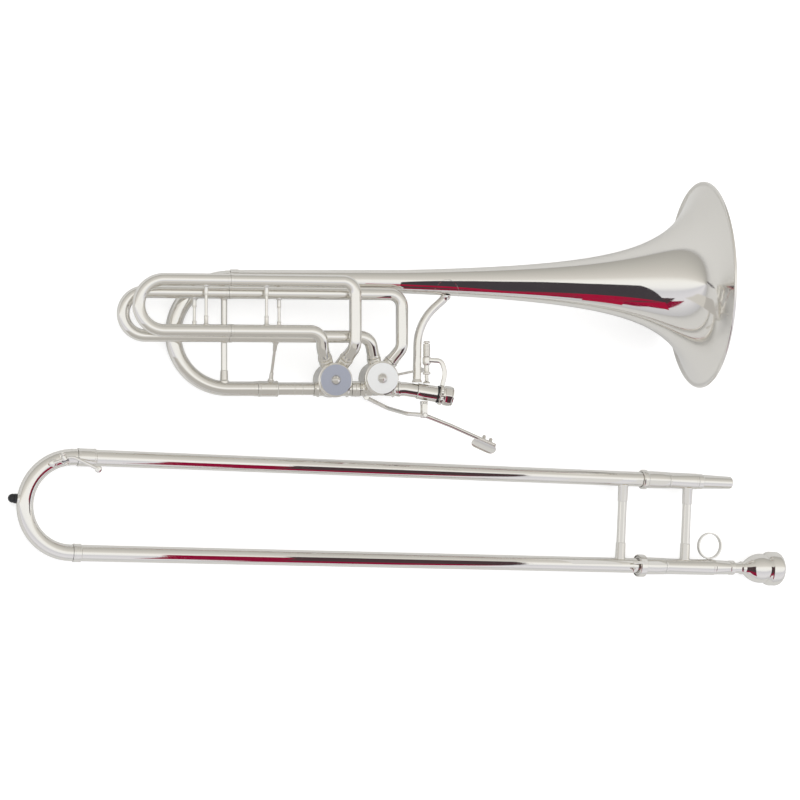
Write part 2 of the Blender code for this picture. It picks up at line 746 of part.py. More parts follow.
def make_inner_slide():
    for side, y in (("upper", HALF_SPACING), ("lower", -HALF_SPACING)):
        slide_tube(f"inner_slide_{side}_tube", INNER_BORE, INNER_RADIUS, SLIDE_CROOK_X + 8, 336.5, y, silver)
        barrel = [
            (BARREL_X, OUTER_RADIUS + 0.4),
            (BARREL_X, 10.8),
            (BARREL_X + 0.6, 11.5),
            (BARREL_X + 6.4, 11.5),
            (BARREL_X + 7.2, 10.6),
            (BARREL_X + 8.5, 10.2),
            (BARREL_END_X - 2, 9.7),
            (BARREL_END_X, 9.3),
            (BARREL_END_X, INNER_RADIUS + GAP),
            (331.5, INNER_RADIUS + GAP),
            (331.5, OUTER_RADIUS + 0.4),
        ]
        turned(f"{side}_cork_barrel", barrel, slide, silver, at=(0, y, 0), steps=TUBE_STEPS)
        slide_tube(f"{side}_barrel_felt", INNER_RADIUS + GAP, 8.8, 314.0, 329.0, y, felt)
    ferrule = ring(INNER_BORE, 9.4, BARREL_END_X + GAP, FERRULE_END_X)
    turned("upper_brace_ferrule", ferrule, slide, silver, at=(0, HALF_SPACING, 0), steps=TUBE_STEPS)
    lower = ring(INNER_BORE, 9.4, BARREL_END_X + GAP, 404.0)
    turned("lower_brace_ferrule", lower, slide, silver, at=(0, -HALF_SPACING, 0), steps=TUBE_STEPS)
    tenon = [
        (FERRULE_END_X + GAP, 6.4),
        (FERRULE_END_X + GAP, 8.2),
        (TENON_END_X - 0.8, 7.2),
        (TENON_END_X, 6.9),
        (TENON_END_X, 6.0),
        (FERRULE_END_X + 30, 6.0),
    ]
    turned("slide_tenon", tenon, slide, silver, at=(0, HALF_SPACING, 0), steps=TUBE_STEPS)
    receiver = [
        (404.0 + GAP, 6.6),
        (404.0 + GAP, 8.4),
        (405.5, 8.6),
        (424.5, 7.9),
        (425.0, 8.5),
        (RECEIVER_END_X - 0.6, 8.5),
        (RECEIVER_END_X, 8.0),
        (RECEIVER_END_X, 6.9),
    ]
    turned("mouthpiece_receiver", receiver, slide, silver, at=(0, -HALF_SPACING, 0), steps=TUBE_STEPS)
    x = 364.5
    top = HALF_SPACING - 9.4 - GAP
    brace("inner_slide_brace", (x, top, 0), (x, -top, 0), 5.2, 5.8, slide, foot_length=19.0, steps=12)
    turned(
        "finger_ring",
        ring(14.2, 15.8, -2.6, 2.6, 0.5),
        slide,
        silver,
        at=(397.5, -HALF_SPACING + 9.4 + GAP + 15.9, 0),
        along=(0, 0, 1),
        steps=TUBE_STEPS,
    )


def make_mouthpiece():
    """Mouthpiece: shank in the receiver, bulbous cup and flat-topped rim."""
    outside = [
        (405.0, 5.4),
        (438.0, 6.4),
        (440.5, 7.0),
        (442.0, 7.6),
        (444.0, 7.2),
        (446.5, 8.4),
        (450.0, 11.2),
        (455.0, 14.2),
        (461.0, 16.4),
        (468.0, 17.4),
        (473.5, 16.9),
        (475.5, 18.2),
        (477.0, 19.9),
        (480.0, MOUTHPIECE_RIM),
        (488.5, MOUTHPIECE_RIM),
        (492.5, 18.6),
        (494.0, 16.6),
        (493.2, 14.7),
    ]
    cup = [(490.0, 13.9), (480.0, 13.2), (472.0, 11.4), (465.0, 7.8), (461.0, 4.2), (458.0, 3.6), (405.0, 4.4)]
    turned("mouthpiece", outside + cup, slide, silver, at=(0, -HALF_SPACING, 0), steps=DRUM_STEPS)


def make_slide_lock():
    """Bayonet ring on the lower barrel, and the post on the outer slide that it catches."""
    y = -HALF_SPACING
    inner, outer = 12.0, 13.2
    band = ring(inner, outer, BARREL_X - 0.2, BARREL_X + 8.4)
    body = turned("slide_lock_ring", band, slide, silver, at=(0, y, 0), steps=TUBE_STEPS)
    hook_angle = math.radians(70)
    hook = box(
        "lock_hook",
        (15.0, 3.6, 2.2),
        (
            BARREL_X - 4.0,
            y + math.cos(hook_angle) * 12.9,
            math.sin(hook_angle) * 12.9,
        ),
        slide,
        None,
        helper=True,
    )
    hook.rotation_euler = (hook_angle - math.radians(90), 0, 0)
    boolean(body, "UNION", hook)


def make_outer_slide():
    start = SLIDE_CROOK_X + GAP
    for side, y, band_end in (("upper", HALF_SPACING, -350.0), ("lower", -HALF_SPACING, -361.0)):
        profile = [
            (start, OUTER_BORE),
            (start, 9.7),
            (start + 0.5, 9.9),
            (band_end - 0.6, 9.9),
            (band_end, 9.5),
            (band_end + 0.2, OUTER_RADIUS),
            (OUTER_END_X, OUTER_RADIUS),
            (OUTER_END_X, OUTER_BORE),
        ]
        tube = turned(f"outer_slide_{side}_tube", profile, slide, silver, at=(0, y, 0), steps=TUBE_STEPS)
    post_angle = math.radians(LOCK_POST_ANGLE)
    way = Vector((0, math.cos(post_angle), math.sin(post_angle)))
    stem = [(-0.4, 0), (-0.4, 2.6), (0.8, 2.4), (1.2, 1.5), (3.0, 1.5), (3.4, 2.1), (4.4, 2.1), (4.8, 1.6), (4.8, 0)]
    foot = Vector((LOCK_POST_X, -HALF_SPACING, 0)) + way * OUTER_RADIUS
    post = cutter("slide_lock_post", stem, foot, way, steps=PIN_STEPS, parent=slide)
    boolean(tube, "UNION", post)
    corner = SLIDE_CROOK_X - CROOK_LEAD - HALF_SPACING
    path = rounded(
        [
            (SLIDE_CROOK_X, HALF_SPACING, 0),
            (corner, HALF_SPACING, 0),
            (corner, -HALF_SPACING, 0),
            (SLIDE_CROOK_X, -HALF_SPACING, 0),
        ],
        HALF_SPACING,
    )
    crook = as_mesh(
        bent_tube("outer_slide_crook", path, 8.8, slide, silver, origin=(SLIDE_CROOK_X, 0, 0))
    )
    nipple_at = on_crook(DRAIN_ANGLE, 0)
    nipple = cutter("drain_nipple", pin(3.0, 5.0, 11.6), nipple_at, (0, 0, 1), parent=slide)
    drain = cutter("drain_hole", pin(1.4, 8.0, 14.0), nipple_at, (0, 0, 1), parent=slide)
    boolean(crook, "UNION", nipple)
    boolean(crook, "DIFFERENCE", drain)
    top = HALF_SPACING - OUTER_RADIUS - GAP
    brace("outer_slide_brace", (279, top, 0), (279, -top, 0), 5.2, 5.8, slide, foot_length=19.0, steps=12)
    bumper_way = Vector((-1, 0.08, 0)).normalized()
    seat = Vector((SLIDE_CROOK_X - CROOK_LEAD, 0, 0)) + bumper_way * (HALF_SPACING + 8.8)
    turned(
        "crook_bumper",
        [(GAP, 0), (GAP, 5.2), (3.0, 5.0), (6.0, 4.6), (8.2, 3.4), (9.3, 1.6), (9.6, 0)],
        slide,
        rubber,
        at=seat,
        along=bumper_way,
        steps=TUBE_STEPS,
    )


def on_crook(angle, height):
    """A point this high above the slide crook's centreline, at this angle round it."""
    return Vector(
        (
            SLIDE_CROOK_X - CROOK_LEAD + HALF_SPACING * math.cos(angle),
            HALF_SPACING * math.sin(angle),
            height,
        )
    )


def make_water_key():
    """Water key: a lever on a saddle, whose pad closes the drain nipple on the crook."""
    nipple_at = on_crook(DRAIN_ANGLE, 0)
    hinge = on_crook(KEY_HINGE_ANGLE, 16.0)
    lever_way = Vector((hinge.x - nipple_at.x, hinge.y - nipple_at.y, 0)).normalized()
    pin_way = Vector((-lever_way.y, lever_way.x, 0))
    turn = math.atan2(lever_way.y, lever_way.x)
    saddle = box("water_key_saddle", (6.0, 12.0, 1.6), (hinge.x, hinge.y, 10.1), slide, silver, turn=turn)
    for side in (-1, 1):
        ear = box(
            f"key_ear_{'a' if side < 0 else 'b'}",
            (5.0, 1.8, 9.6),
            hinge + pin_way * side * 5.0 + Vector((0, 0, -2.2)),
            slide,
            None,
            helper=True,
            turn=turn,
        )
        boolean(saddle, "UNION", ear)
    rod = cutter("key_pin", pin(1.2, -7.4, 7.4), hinge, pin_way, steps=PIN_STEPS, parent=slide)
    boolean(saddle, "UNION", rod)
    tail = hinge + Vector((36.0, -9.5, 1.5))
    head = Vector((nipple_at.x, nipple_at.y, 14.6))
    past_ears = hinge + lever_way * 8.0 + Vector((0, 0, 0.6))
    path = rounded([head, past_ears, tail], 12.0)
    lever = as_mesh(bent_tube("water_key_lever", path, 1.9, slide, silver, origin=hinge, sides=2))
    hub = cutter("key_hub", pin(3.0, -3.7, 3.7), hinge, pin_way, parent=slide)
    pad = cutter("key_pad_cup", pin(4.4, 12.0, 15.0, 0.6), nipple_at, (0, 0, 1), parent=slide)
    bore = cutter("key_bore", pin(1.5, -8, 8), hinge, pin_way, steps=PIN_STEPS, parent=slide)
    boolean(lever, "UNION", hub)
    boolean(lever, "UNION", pad)
    boolean(lever, "DIFFERENCE", bore)


clear_scene()
trombone = new_collection("bass_trombone")
helpers = new_collection("cutters")
silver = metal("silver_plate", (0.86, 0.86, 0.84), 0.12, 1.0)
rubber = metal("black_rubber", (0.012, 0.012, 0.016), 0.55, 0.0)
felt = metal("bumper_felt", (0.35, 0.30, 0.26), 0.95, 0.0)
bell = section("bell_section", BELL_PLACE, BELL_TILT, 0.0)
slide = section("slide_section", SLIDE_PLACE, SLIDE_TILT, SLIDE_YAW)
make_bell_section()
make_inner_slide()
make_mouthpiece()
make_slide_lock()
make_outer_slide()
make_water_key()
bpy.context.view_layer.update()
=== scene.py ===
# %% [markdown]
# # A silver-plated bass trombone, taken apart on a pale table
# The instrument lies in two sections. The bell section holds the bell, the main tuning slide, two rotary
# valves and their loops. The hand slide lies beside it with its mouthpiece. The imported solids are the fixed
# frame: every piece below stands where its solid stands, and only adds the finish and the fine shape.

# %% Load the frame
import math

import bmesh
import bpy
from mathutils import Euler, Matrix, Vector


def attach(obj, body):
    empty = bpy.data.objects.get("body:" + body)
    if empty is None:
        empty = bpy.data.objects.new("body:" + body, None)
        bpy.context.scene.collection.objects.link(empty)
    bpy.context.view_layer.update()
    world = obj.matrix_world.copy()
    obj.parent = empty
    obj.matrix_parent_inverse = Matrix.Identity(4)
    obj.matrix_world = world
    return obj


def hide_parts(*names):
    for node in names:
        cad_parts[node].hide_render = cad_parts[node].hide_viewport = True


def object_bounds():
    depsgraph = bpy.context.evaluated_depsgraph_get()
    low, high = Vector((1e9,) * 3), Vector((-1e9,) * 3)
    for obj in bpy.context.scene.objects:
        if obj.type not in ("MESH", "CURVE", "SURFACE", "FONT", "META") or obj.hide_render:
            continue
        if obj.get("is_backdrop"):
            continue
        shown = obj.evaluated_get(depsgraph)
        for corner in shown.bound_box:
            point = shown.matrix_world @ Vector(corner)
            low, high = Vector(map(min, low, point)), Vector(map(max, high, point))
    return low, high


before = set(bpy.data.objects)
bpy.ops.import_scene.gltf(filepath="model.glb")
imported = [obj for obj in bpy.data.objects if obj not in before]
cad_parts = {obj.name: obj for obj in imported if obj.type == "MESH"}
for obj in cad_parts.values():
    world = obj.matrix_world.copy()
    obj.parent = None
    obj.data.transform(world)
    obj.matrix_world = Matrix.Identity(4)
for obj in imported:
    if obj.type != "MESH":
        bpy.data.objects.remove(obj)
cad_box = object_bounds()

print("solid box in mm:", [round(c * 1000, 1) for corner in cad_box for c in corner])

# %% [markdown]
# ## The two sections
# Each section is drawn in millimetres in a frame of its own, because that is how the parts are made: the
# bell's axis is x in one, and the slide tubes run along x in the other. One matrix then lays the section on
# the table, tilted, since the bell rests on its rim and the slide on the rim of the mouthpiece.

# %% Where the two sections lie
MM = 0.001
X_AXIS, Y_AXIS, Z_AXIS = Vector((1, 0, 0)), Vector((0, 1, 0)), Vector((0, 0, 1))


def lay(place, tilt, yaw):
    """The matrix that lays a section on the table, from millimetres to metres."""
    turn = Euler((0.0, math.radians(-tilt), math.radians(yaw))).to_matrix().to_4x4()
    return Matrix.Translation(Vector(place) * MM) @ turn @ Matrix.Scale(MM, 4)


BELL = lay((303.62, 119.54, 115.65), 10.25, 0.0)
SLIDE = lay((-25.68, -141.76, 14.363), 0.732, -2.8)
print("bell mouth centre in mm:", [round(c * 1000) for c in BELL.translation])

# %% [markdown]
# ## Node helpers
# A finish is a small network of nodes. One function adds any node with its settings and its links, so that
# each material below reads as a list of what feeds what. Colours are written as sRGB hex values, as a paint
# chart gives them, and turned into the linear values that light is computed in.


# %% Colour and node helpers
def linear(code):
    """An sRGB hex colour as linear RGBA."""
    parts = [int(code[i : i + 2], 16) / 255 for i in (1, 3, 5)]
    return (*[p / 12.92 if p <= 0.04045 else ((p + 0.055) / 1.055) ** 2.4 for p in parts], 1.0)


def add_node(tree, kind, settings=None, **inputs):
    """Adds a node to a tree. Inputs are values, or the output socket of another node to link to.

    An input is given by its name, with _ for each space, or by its number after one _.
    """
    node = tree.nodes.new(kind)
    for name, value in (settings or {}).items():
        setattr(node, name, value)
    for name, value in inputs.items():
        socket = node.inputs[int(name[1:])] if name[0] == "_" else node.inputs[name.replace("_", " ")]
        if isinstance(value, bpy.types.NodeSocket):
            tree.links.new(value, socket)
        else:
            socket.default_value = value
    return node


def new_material(name):
    """An empty material and its node tree."""
    made = bpy.data.materials.new(name)
    made.use_nodes = True
    made.node_tree.nodes.clear()
    return made, made.node_tree


print("mid grey #808080 is", round(linear("#808080")[0], 3), "in linear light")

# %% [markdown]
# ## Polished silver plate
# The tubes and the bell are brass, plated with silver and buffed with a soft wheel. Silver is the palest of
# the metals, with a trace of warmth, and buffing leaves it almost a mirror. What gives it away as metal worked
# by hand is that reflections wander a little: the wall follows the mandrel to about a hundredth of a
# millimetre over 25 mm or so, and buffing leaves a faint haze in patches of about 8 mm. Both are drawn with
# noise, one as a bump and one in the roughness. Buffing hairlines, 0.4 mm apart, are a second, finer bump.

# %% Silver plate
SILVER_TINT = "#F1EFEA"
HAZE_SIZE, WANDER_SIZE, WANDER, HAIR_SPACING, HAIR_DEPTH = 8 * MM, 25 * MM, 0.012 * MM, 0.4 * MM, 0.0012 * MM

silver, tree = new_material("polished_silver_plate")
place = add_node(tree, "ShaderNodeTexCoord").outputs["Object"]
haze = add_node(tree, "ShaderNodeTexNoise", Vector=place, Scale=1 / HAZE_SIZE, Detail=3.0, Roughness=0.55)
shine = add_node(
    tree, "ShaderNodeMapRange", Value=haze.outputs[0], From_Min=0.3, From_Max=0.7, To_Min=0.045, To_Max=0.10
)
waves = add_node(tree, "ShaderNodeTexNoise", Vector=place, Scale=1 / WANDER_SIZE, Detail=0.0)
wall = add_node(tree, "ShaderNodeBump", Strength=1.0, Distance=WANDER, Height=waves.outputs[0])
hairs = add_node(tree, "ShaderNodeTexNoise", Vector=place, Scale=1 / HAIR_SPACING, Detail=1.0)
surface = add_node(
    tree, "ShaderNodeBump", Strength=1.0, Distance=HAIR_DEPTH, Height=hairs.outputs[0], Normal=wall.outputs[0]
)
shader = add_node(
    tree, "ShaderNodeBsdfPrincipled", Base_Color=linear(SILVER_TINT), Metallic=1.0,
    Roughness=shine.outputs[0], Normal=surface.outputs[0],
)
add_node(tree, "ShaderNodeOutputMaterial", Surface=shader.outputs[0])
print("silver plate, base colour", [round(c, 3) for c in linear(SILVER_TINT)[:3]])

# %% [markdown]
# ## Turned valve caps
# The two screw-on valve caps are faced on a lathe and left satin, so they look matte beside the tubes. Both are
# the same silver, but each face's colour is a painted reflection: pale white on the first cap, blue-grey on the
# second. A lathe tool leaves rings round the centre, here 0.9 mm apart so that they just show. The rings follow
# a UV map that each cap gets from its own flat face, in millimetres, because the pattern has to stay centred on
# the cap.

# %% Satin cap finish
RING_SPACING, RING_DEPTH = 0.9, 0.02 * MM


def satin_finish(name, painted_reflection_tint):
    """Lathe-faced silver: satin, with faint rings round the centre of the cap. Its colour is a painted reflection.
    """
    made, tree = new_material(name)
    place = add_node(tree, "ShaderNodeUVMap", {"uv_map": "face_mm"}).outputs[0]
    rings = add_node(
        tree, "ShaderNodeTexWave", {"wave_type": "RINGS", "rings_direction": "Z"}, Vector=place,
        Scale=math.tau / 20 / RING_SPACING, Distortion=0.25, Detail=1.0,
    ).outputs["Fac"]
    surface = add_node(tree, "ShaderNodeBump", Strength=0.35, Distance=RING_DEPTH, Height=rings)
    shine = add_node(tree, "ShaderNodeMapRange", Value=rings, To_Min=0.34, To_Max=0.42)
    shader = add_node(
        tree, "ShaderNodeBsdfPrincipled", Base_Color=linear(painted_reflection_tint), Metallic=1.0,
        Roughness=shine.outputs[0], Normal=surface.outputs[0],
    )
    add_node(tree, "ShaderNodeOutputMaterial", Surface=shader.outputs[0])
    return made


# Painted reflections: the first cap's pale white and the second cap's blue-grey, though both caps are the same
# silver.
satin_cap_painted_bright_reflection = satin_finish("satin_silver_painted_bright_reflection", "#F4F5F6")
satin_cap_painted_blue_grey_reflection = satin_finish("satin_silver_painted_blue_grey_reflection", "#AEB2C0")
print("two satin cap finishes, with a ring every", RING_SPACING, "mm")

# %% [markdown]
# ## Rubber, felt, cork and spring steel
# The bumper on the slide crook and the ring behind the lock nut are moulded black rubber: dark, a little
# glossy, with a fine grain. The felts inside the barrels are pressed wool, rough and fibrous, with fibres a
# few tenths of a millimetre apart. The water key closes on a cork pad, brown with darker pores about 1.5 mm
# across. The springs are hard-drawn steel wire, greyer than silver.


# %% Dull finishes
def grained_finish(name, dark, light, grain, roughness, relief, metallic=0.0):
    """A surface whose colour and relief follow one grain. Grain and relief are in millimetres."""
    made, tree = new_material(name)
    place = add_node(tree, "ShaderNodeTexCoord").outputs["Object"]
    pattern = add_node(
        tree, "ShaderNodeTexNoise", Vector=place, Scale=1 / (grain * MM), Detail=4.0, Roughness=0.6
    ).outputs[0]
    ramp = add_node(tree, "ShaderNodeValToRGB", Fac=pattern)
    for stop, position, colour in zip(ramp.color_ramp.elements, (0.35, 0.65), (dark, light)):
        stop.position, stop.color = position, linear(colour)
    surface = add_node(tree, "ShaderNodeBump", Strength=0.6, Distance=relief * MM, Height=pattern)
    shader = add_node(
        tree, "ShaderNodeBsdfPrincipled", Base_Color=ramp.outputs[0], Metallic=metallic,
        Roughness=roughness, Normal=surface.outputs[0],
    )
    add_node(tree, "ShaderNodeOutputMaterial", Surface=shader.outputs[0])
    return made


rubber = grained_finish("moulded_black_rubber", "#141416", "#1E1E21", 0.5, 0.42, 0.03)
felt = grained_finish("pressed_wool_felt", "#A99E90", "#C9C0B3", 0.3, 0.95, 0.12)
cork = grained_finish("natural_cork", "#7A5230", "#B98C5C", 1.5, 0.85, 0.1)
spring_steel = grained_finish("drawn_spring_steel", "#9C9DA0", "#B4B5B8", 0.6, 0.28, 0.004, metallic=1.0)
print("rubber, felt, cork and spring steel are ready")

# %% [markdown]
# ## Shape helpers: turning
# Most of a trombone is round, so most pieces are turned: a half outline is spun about an axis, as on a lathe.
# The outline is a list of (distance along the axis, radius) points. Real edges are never knife sharp, so a
# helper eases every corner of an outline with a small curve, which is what catches the light.


# %% Outlines
def eased(outline, size=0.35):
    """The outline with each sharp corner rounded to about this size, in three points."""
    points = [Vector(p) for p in outline]
    made = [points[0]]
    for before, corner, after in zip(points, points[1:], points[2:]):
        back, ahead = before - corner, after - corner
        if math.pi - back.angle(ahead) < 0.3:
            made.append(corner)
            continue
        cut = min(size, 0.4 * back.length, 0.4 * ahead.length)
        start, end = corner + back.normalized() * cut, corner + ahead.normalized() * cut
        made += [start, (start + end + 2 * corner) / 4, end]
    return [(p.x, p.y) for p in made + [points[-1]]]


def capped(outline, ease, core=0):
    """An eased outline, closed at both ends down to a core radius. At 0 it makes a solid."""
    return [(outline[0][0], core), *eased(outline, ease), (outline[-1][0], core)]


def sleeve(inner, outer, start, end, ease=0.35):
    """The outline of a sleeve with its outer edges eased."""
    return eased([(start, inner), (start, outer), (end, outer), (end, inner)], ease)


def rod(radius, start, end, ease=0.35):
    """The outline of a solid pin with eased ends."""
    return sleeve(0, radius, start, end, ease)


def ring_bead(place, radius, thick):
    """The outline of a round wire ring: its place along the axis, its radius and its thickness."""
    turns = [math.tau * i / 12 for i in range(12)]
    return [(place + thick * math.cos(a), radius + thick * math.sin(a)) for a in turns]


def both_ends(half, span):
    """The outline of a rod of this span whose two ends mirror each other."""
    return half + [(span - s, r) for s, r in reversed(half)]


print("a pin's outline has", len(rod(2.0, 0.0, 10.0)), "points")

# %% [markdown]
# ## Shape helpers: spinning the outline
# Blender's spin operator sweeps the outline round the axis. Its last step lands on its first, so these are
# merged, and so are the points that lie on the axis itself.


# %% Spinning helpers
def set_at(spot, way):
    """The matrix that sets a form at a spot, with its z axis along way."""
    return Matrix.Translation(spot) @ Vector(way).to_track_quat("Z", "Y").to_matrix().to_4x4()


def spun(shape, outline, at=(0, 0, 0), along=X_AXIS, steps=48):
    """Adds a turned form to a bmesh: the outline spun about the axis that starts at a point and runs along.

    An outline that starts and ends at radius 0 makes a solid, and any other is closed into a ring.
    """
    place = set_at(at, along)
    older = set(shape.verts)
    points = [shape.verts.new(place @ Vector((radius, 0, s))) for s, radius in outline]
    edges = [shape.edges.new(pair) for pair in zip(points, points[1:])]
    if outline[0][1] > 0 or outline[-1][1] > 0:
        edges.append(shape.edges.new((points[-1], points[0])))
    axis = Vector(along).normalized()
    bmesh.ops.spin(
        shape, geom=points + edges, cent=at, axis=axis, angle=math.tau, steps=steps, use_merge=True
    )
    bmesh.ops.remove_doubles(shape, verts=[v for v in shape.verts if v not in older], dist=0.0005)


sample = bmesh.new()
spun(sample, rod(2.0, 0.0, 10.0))
print("a turned pin has", len(sample.faces), "faces")
sample.free()

# %% [markdown]
# ## Shape helpers: bending
# The crooks and loops are straight tubes bent round a former. The helper does the same: a ring is extruded
# down each straight run and spun round the centre of each bend. The bend of a tapered crook is spun a step at
# a time, and its ring shrinks a little after each step.

# %% Bending helper
SHORTEST_RUN, BEND_STEP = 0.02, math.radians(6)


def edges_of(verts):
    """All the edges at these vertices."""
    return list({e for v in verts for e in v.link_edges})


def verts_of(edges):
    """All the vertices of these edges."""
    return list({v for e in edges for v in e.verts})


def pushed(shape, ring, step):
    """Extrudes a ring of edges by a step and gives the new ring, without the sides that join it on."""
    grown = bmesh.ops.extrude_edge_only(shape, edges=ring)["geom"]
    ring = [g for g in grown if isinstance(g, bmesh.types.BMEdge) and all(v in grown for v in g.verts)]
    bmesh.ops.translate(shape, verts=verts_of(ring), vec=step)
    return ring


def bent(shape, corners, radius, bend, sides=28, end_radius=None):
    """Adds a solid round bar through these corners. bend is one radius for all, or a list of them.

    With end_radius, the bends taper from radius to that.
    """
    corners = [Vector(c) for c in corners]
    bends = bend if isinstance(bend, list) else [bend] * (len(corners) - 2)
    turns = [(b - a).angle(c - b) for a, b, c in zip(corners, corners[1:], corners[2:])]
    place, way = corners[0], (corners[1] - corners[0]).normalized()
    circle = bmesh.ops.create_circle(
        shape, cap_ends=True, segments=sides, radius=radius, matrix=set_at(place, way)
    )["verts"]
    ring, left, size = edges_of(circle), sum(turns), radius
    for corner, after, turn, reach in zip(corners[1:], corners[2:], turns, bends):
        onward = (after - corner).normalized()
        cut = reach * math.tan(turn / 2)
        arc_start = corner - way * cut
        if (arc_start - place).length > SHORTEST_RUN:
            ring = pushed(shape, ring, arc_start - place)
        axis = way.cross(onward).normalized()
        centre = arc_start + axis.cross(way).normalized() * reach
        count = max(3, math.ceil(turn / BEND_STEP))
        for _ in range(count):
            last = bmesh.ops.spin(
                shape, geom=ring + verts_of(ring), cent=centre, axis=axis, angle=turn / count, steps=1
            )["geom_last"]
            ring = [g for g in last if isinstance(g, bmesh.types.BMEdge)]
            if end_radius is not None:
                left -= turn / count
                goal = end_radius + (radius - end_radius) * left / sum(turns)
                middle = sum((v.co for v in verts_of(ring)), Vector()) / sides
                bmesh.ops.scale(
                    shape, vec=(goal / size,) * 3, space=Matrix.Translation(-middle), verts=verts_of(ring)
                )
                size = goal
        way, place = onward, corner + onward * cut
    if (corners[-1] - place).length > SHORTEST_RUN:
        ring = pushed(shape, ring, corners[-1] - place)
    bmesh.ops.edgeloop_fill(shape, edges=ring)


print("a quarter bend takes", math.ceil(math.radians(90) / BEND_STEP), "steps")

# %% [markdown]
# ## Shape helpers: blocks, plates and nuts
# The small fittings are cast or cut from bar, and filed smooth by hand. A cube or a cone with few sides gives
# the form, and a bevel does the filing.


# %% Block helpers
def bevelled(shape, edges, offset, segments):
    """Eases these edges."""
    bmesh.ops.bevel(
        shape, geom=edges, affect="EDGES", offset=offset, segments=segments, profile=0.5, material=-1
    )


def block(shape, size, at, turn=Matrix.Identity(4), ease=0.4, segments=2):
    """Adds a block of this size with eased edges, turned by a matrix and set at a place."""
    matrix = Matrix.Translation(at) @ turn @ Matrix.Diagonal((*size, 1))
    bevelled(shape, edges_of(bmesh.ops.create_cube(shape, size=1.0, matrix=matrix)["verts"]), ease, segments)


def rounded_plate(shape, size, corner, at, turn):
    """Adds a flat plate with round corners and eased edges."""
    matrix = Matrix.Translation(at) @ turn @ Matrix.Diagonal((*size, 1))
    older = set(shape.faces)
    cube = bmesh.ops.create_cube(shape, size=1.0, matrix=matrix)["verts"]
    normal = (turn @ Vector((0, 0, 1, 0))).xyz.normalized()
    ways = [(e, (e.verts[0].co - e.verts[1].co).normalized()) for e in edges_of(cube)]
    bevelled(shape, [e for e, way in ways if abs(way.dot(normal)) > 0.99], corner, 10)
    flat = [f for f in shape.faces if f not in older and abs(f.normal.dot(normal)) > 0.99]
    bevelled(shape, [e for f in flat for e in f.edges], 0.5, 3)


def nut_body(shape, sides, radius, depth, spot, way, ease, segments):
    """Adds a nut with this many flat sides: a cone of two equal radii, with eased edges."""
    cone = bmesh.ops.create_cone(
        shape, cap_ends=True, segments=sides, radius1=radius, radius2=radius, depth=depth,
        matrix=set_at(spot, way),
    )["verts"]
    bevelled(shape, edges_of(cone), ease, segments)


sample = bmesh.new()
block(sample, (7, 4, 12), (0, 0, 0))
print("an eased block has", len(sample.faces), "faces")
sample.free()

# %% [markdown]
# ## Finishing a piece
# Each piece is drawn in its section's frame. Finishing it makes every shell face outwards, lays the section's
# matrix into the mesh itself, shades it smooth with sharp edges kept, gives it a finish, and lets it ride on
# its body. It then stands for the plain solid of the same part.


# %% Finish a piece
def in_scene(name, data):
    """A new object that shows this data."""
    made = bpy.data.objects.new(name, data)
    bpy.context.scene.collection.objects.link(made)
    return made


def as_object(name, shape):
    """Turns a bmesh into an object, with its place in its mesh."""
    mesh = bpy.data.meshes.new(name)
    shape.to_mesh(mesh)
    shape.free()
    return in_scene(name, mesh)


def finish(name, shape, section, body, nodes, material=silver, slot="silver_plate", sharp=32):
    """Turns a bmesh into a finished piece that rides on a body and stands for these solids."""
    bmesh.ops.recalc_face_normals(shape, faces=shape.faces)
    bmesh.ops.transform(shape, matrix=section, verts=shape.verts)
    piece = as_object(name, shape)
    piece.data.shade_smooth()
    piece.data.set_sharp_from_angle(angle=math.radians(sharp))
    piece.data.materials.append(material)
    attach(piece, body)
    if nodes:
        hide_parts(*nodes)
    print(f"{name}: {len(piece.data.polygons)} faces")
    return piece


def turned(name, outline, at, along, steps, *rest, **more):
    """A finished piece that is one turned form. What follows steps goes to finish."""
    shape = bmesh.new()
    spun(shape, outline, at, along, steps)
    return finish(name, shape, *rest, **more)


print("the frame has", len(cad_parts), "solids to dress")

# %% [markdown]
# ## The bell's curve
# A bell is beaten and spun from one sheet of brass on a steel mandrel. Its outline follows a horn curve that
# opens ever faster, so one formula gives the radius at every station. It could be lofted from rings, but
# spinning its outline is how it is made. The stations stand closer where the curve opens faster.

# %% The bell's horn curve
MOUTH_RADIUS, FLARE_LENGTH, FLARE_POWER = 116.5, 49.0, 1.05
STEM_STRAIGHT, STEM_END, STEM_END_RADIUS = -350.0, -538.5, 10.6
WALL = 0.9


def horn_radius(x):
    """The bell's outer radius at x: a horn curve, straight-sided towards the stem's end."""
    if x > STEM_STRAIGHT:
        return MOUTH_RADIUS * (1 - x / FLARE_LENGTH) ** -FLARE_POWER
    share = (STEM_STRAIGHT - x) / (STEM_STRAIGHT - STEM_END)
    return horn_radius(STEM_STRAIGHT + 0.001) * (1 - share) + STEM_END_RADIUS * share


def inside_of(x):
    """The point of the inner wall that faces the outer wall at x."""
    slope = (horn_radius(x + 0.1) - horn_radius(x - 0.1)) / 0.2
    length = math.hypot(slope, 1)
    return (x + WALL * slope / length, horn_radius(x) - WALL / length)


stations = [-528.0, -500.0, -470.0, -440.0, -410.0, -380.0, -352.0]
for first, spacing, count in ((-345.0, 9.0, 29), (-88.0, 4.0, 13), (-37.5, 2.0, 14), (-10.0, 1.2, 8)):
    stations += [first + spacing * i for i in range(count)]
print(len(stations), "stations; radius at the first and last:", horn_radius(-528), horn_radius(-1.6))

# %% [markdown]
# ## The bell itself
# The wall is 0.9 mm. A wire is rolled into the rim to stiffen it, so the rim is a small round bead, and a band
# closes the stem's narrow end. The outline runs from the band along the outside, over the rim and back inside.

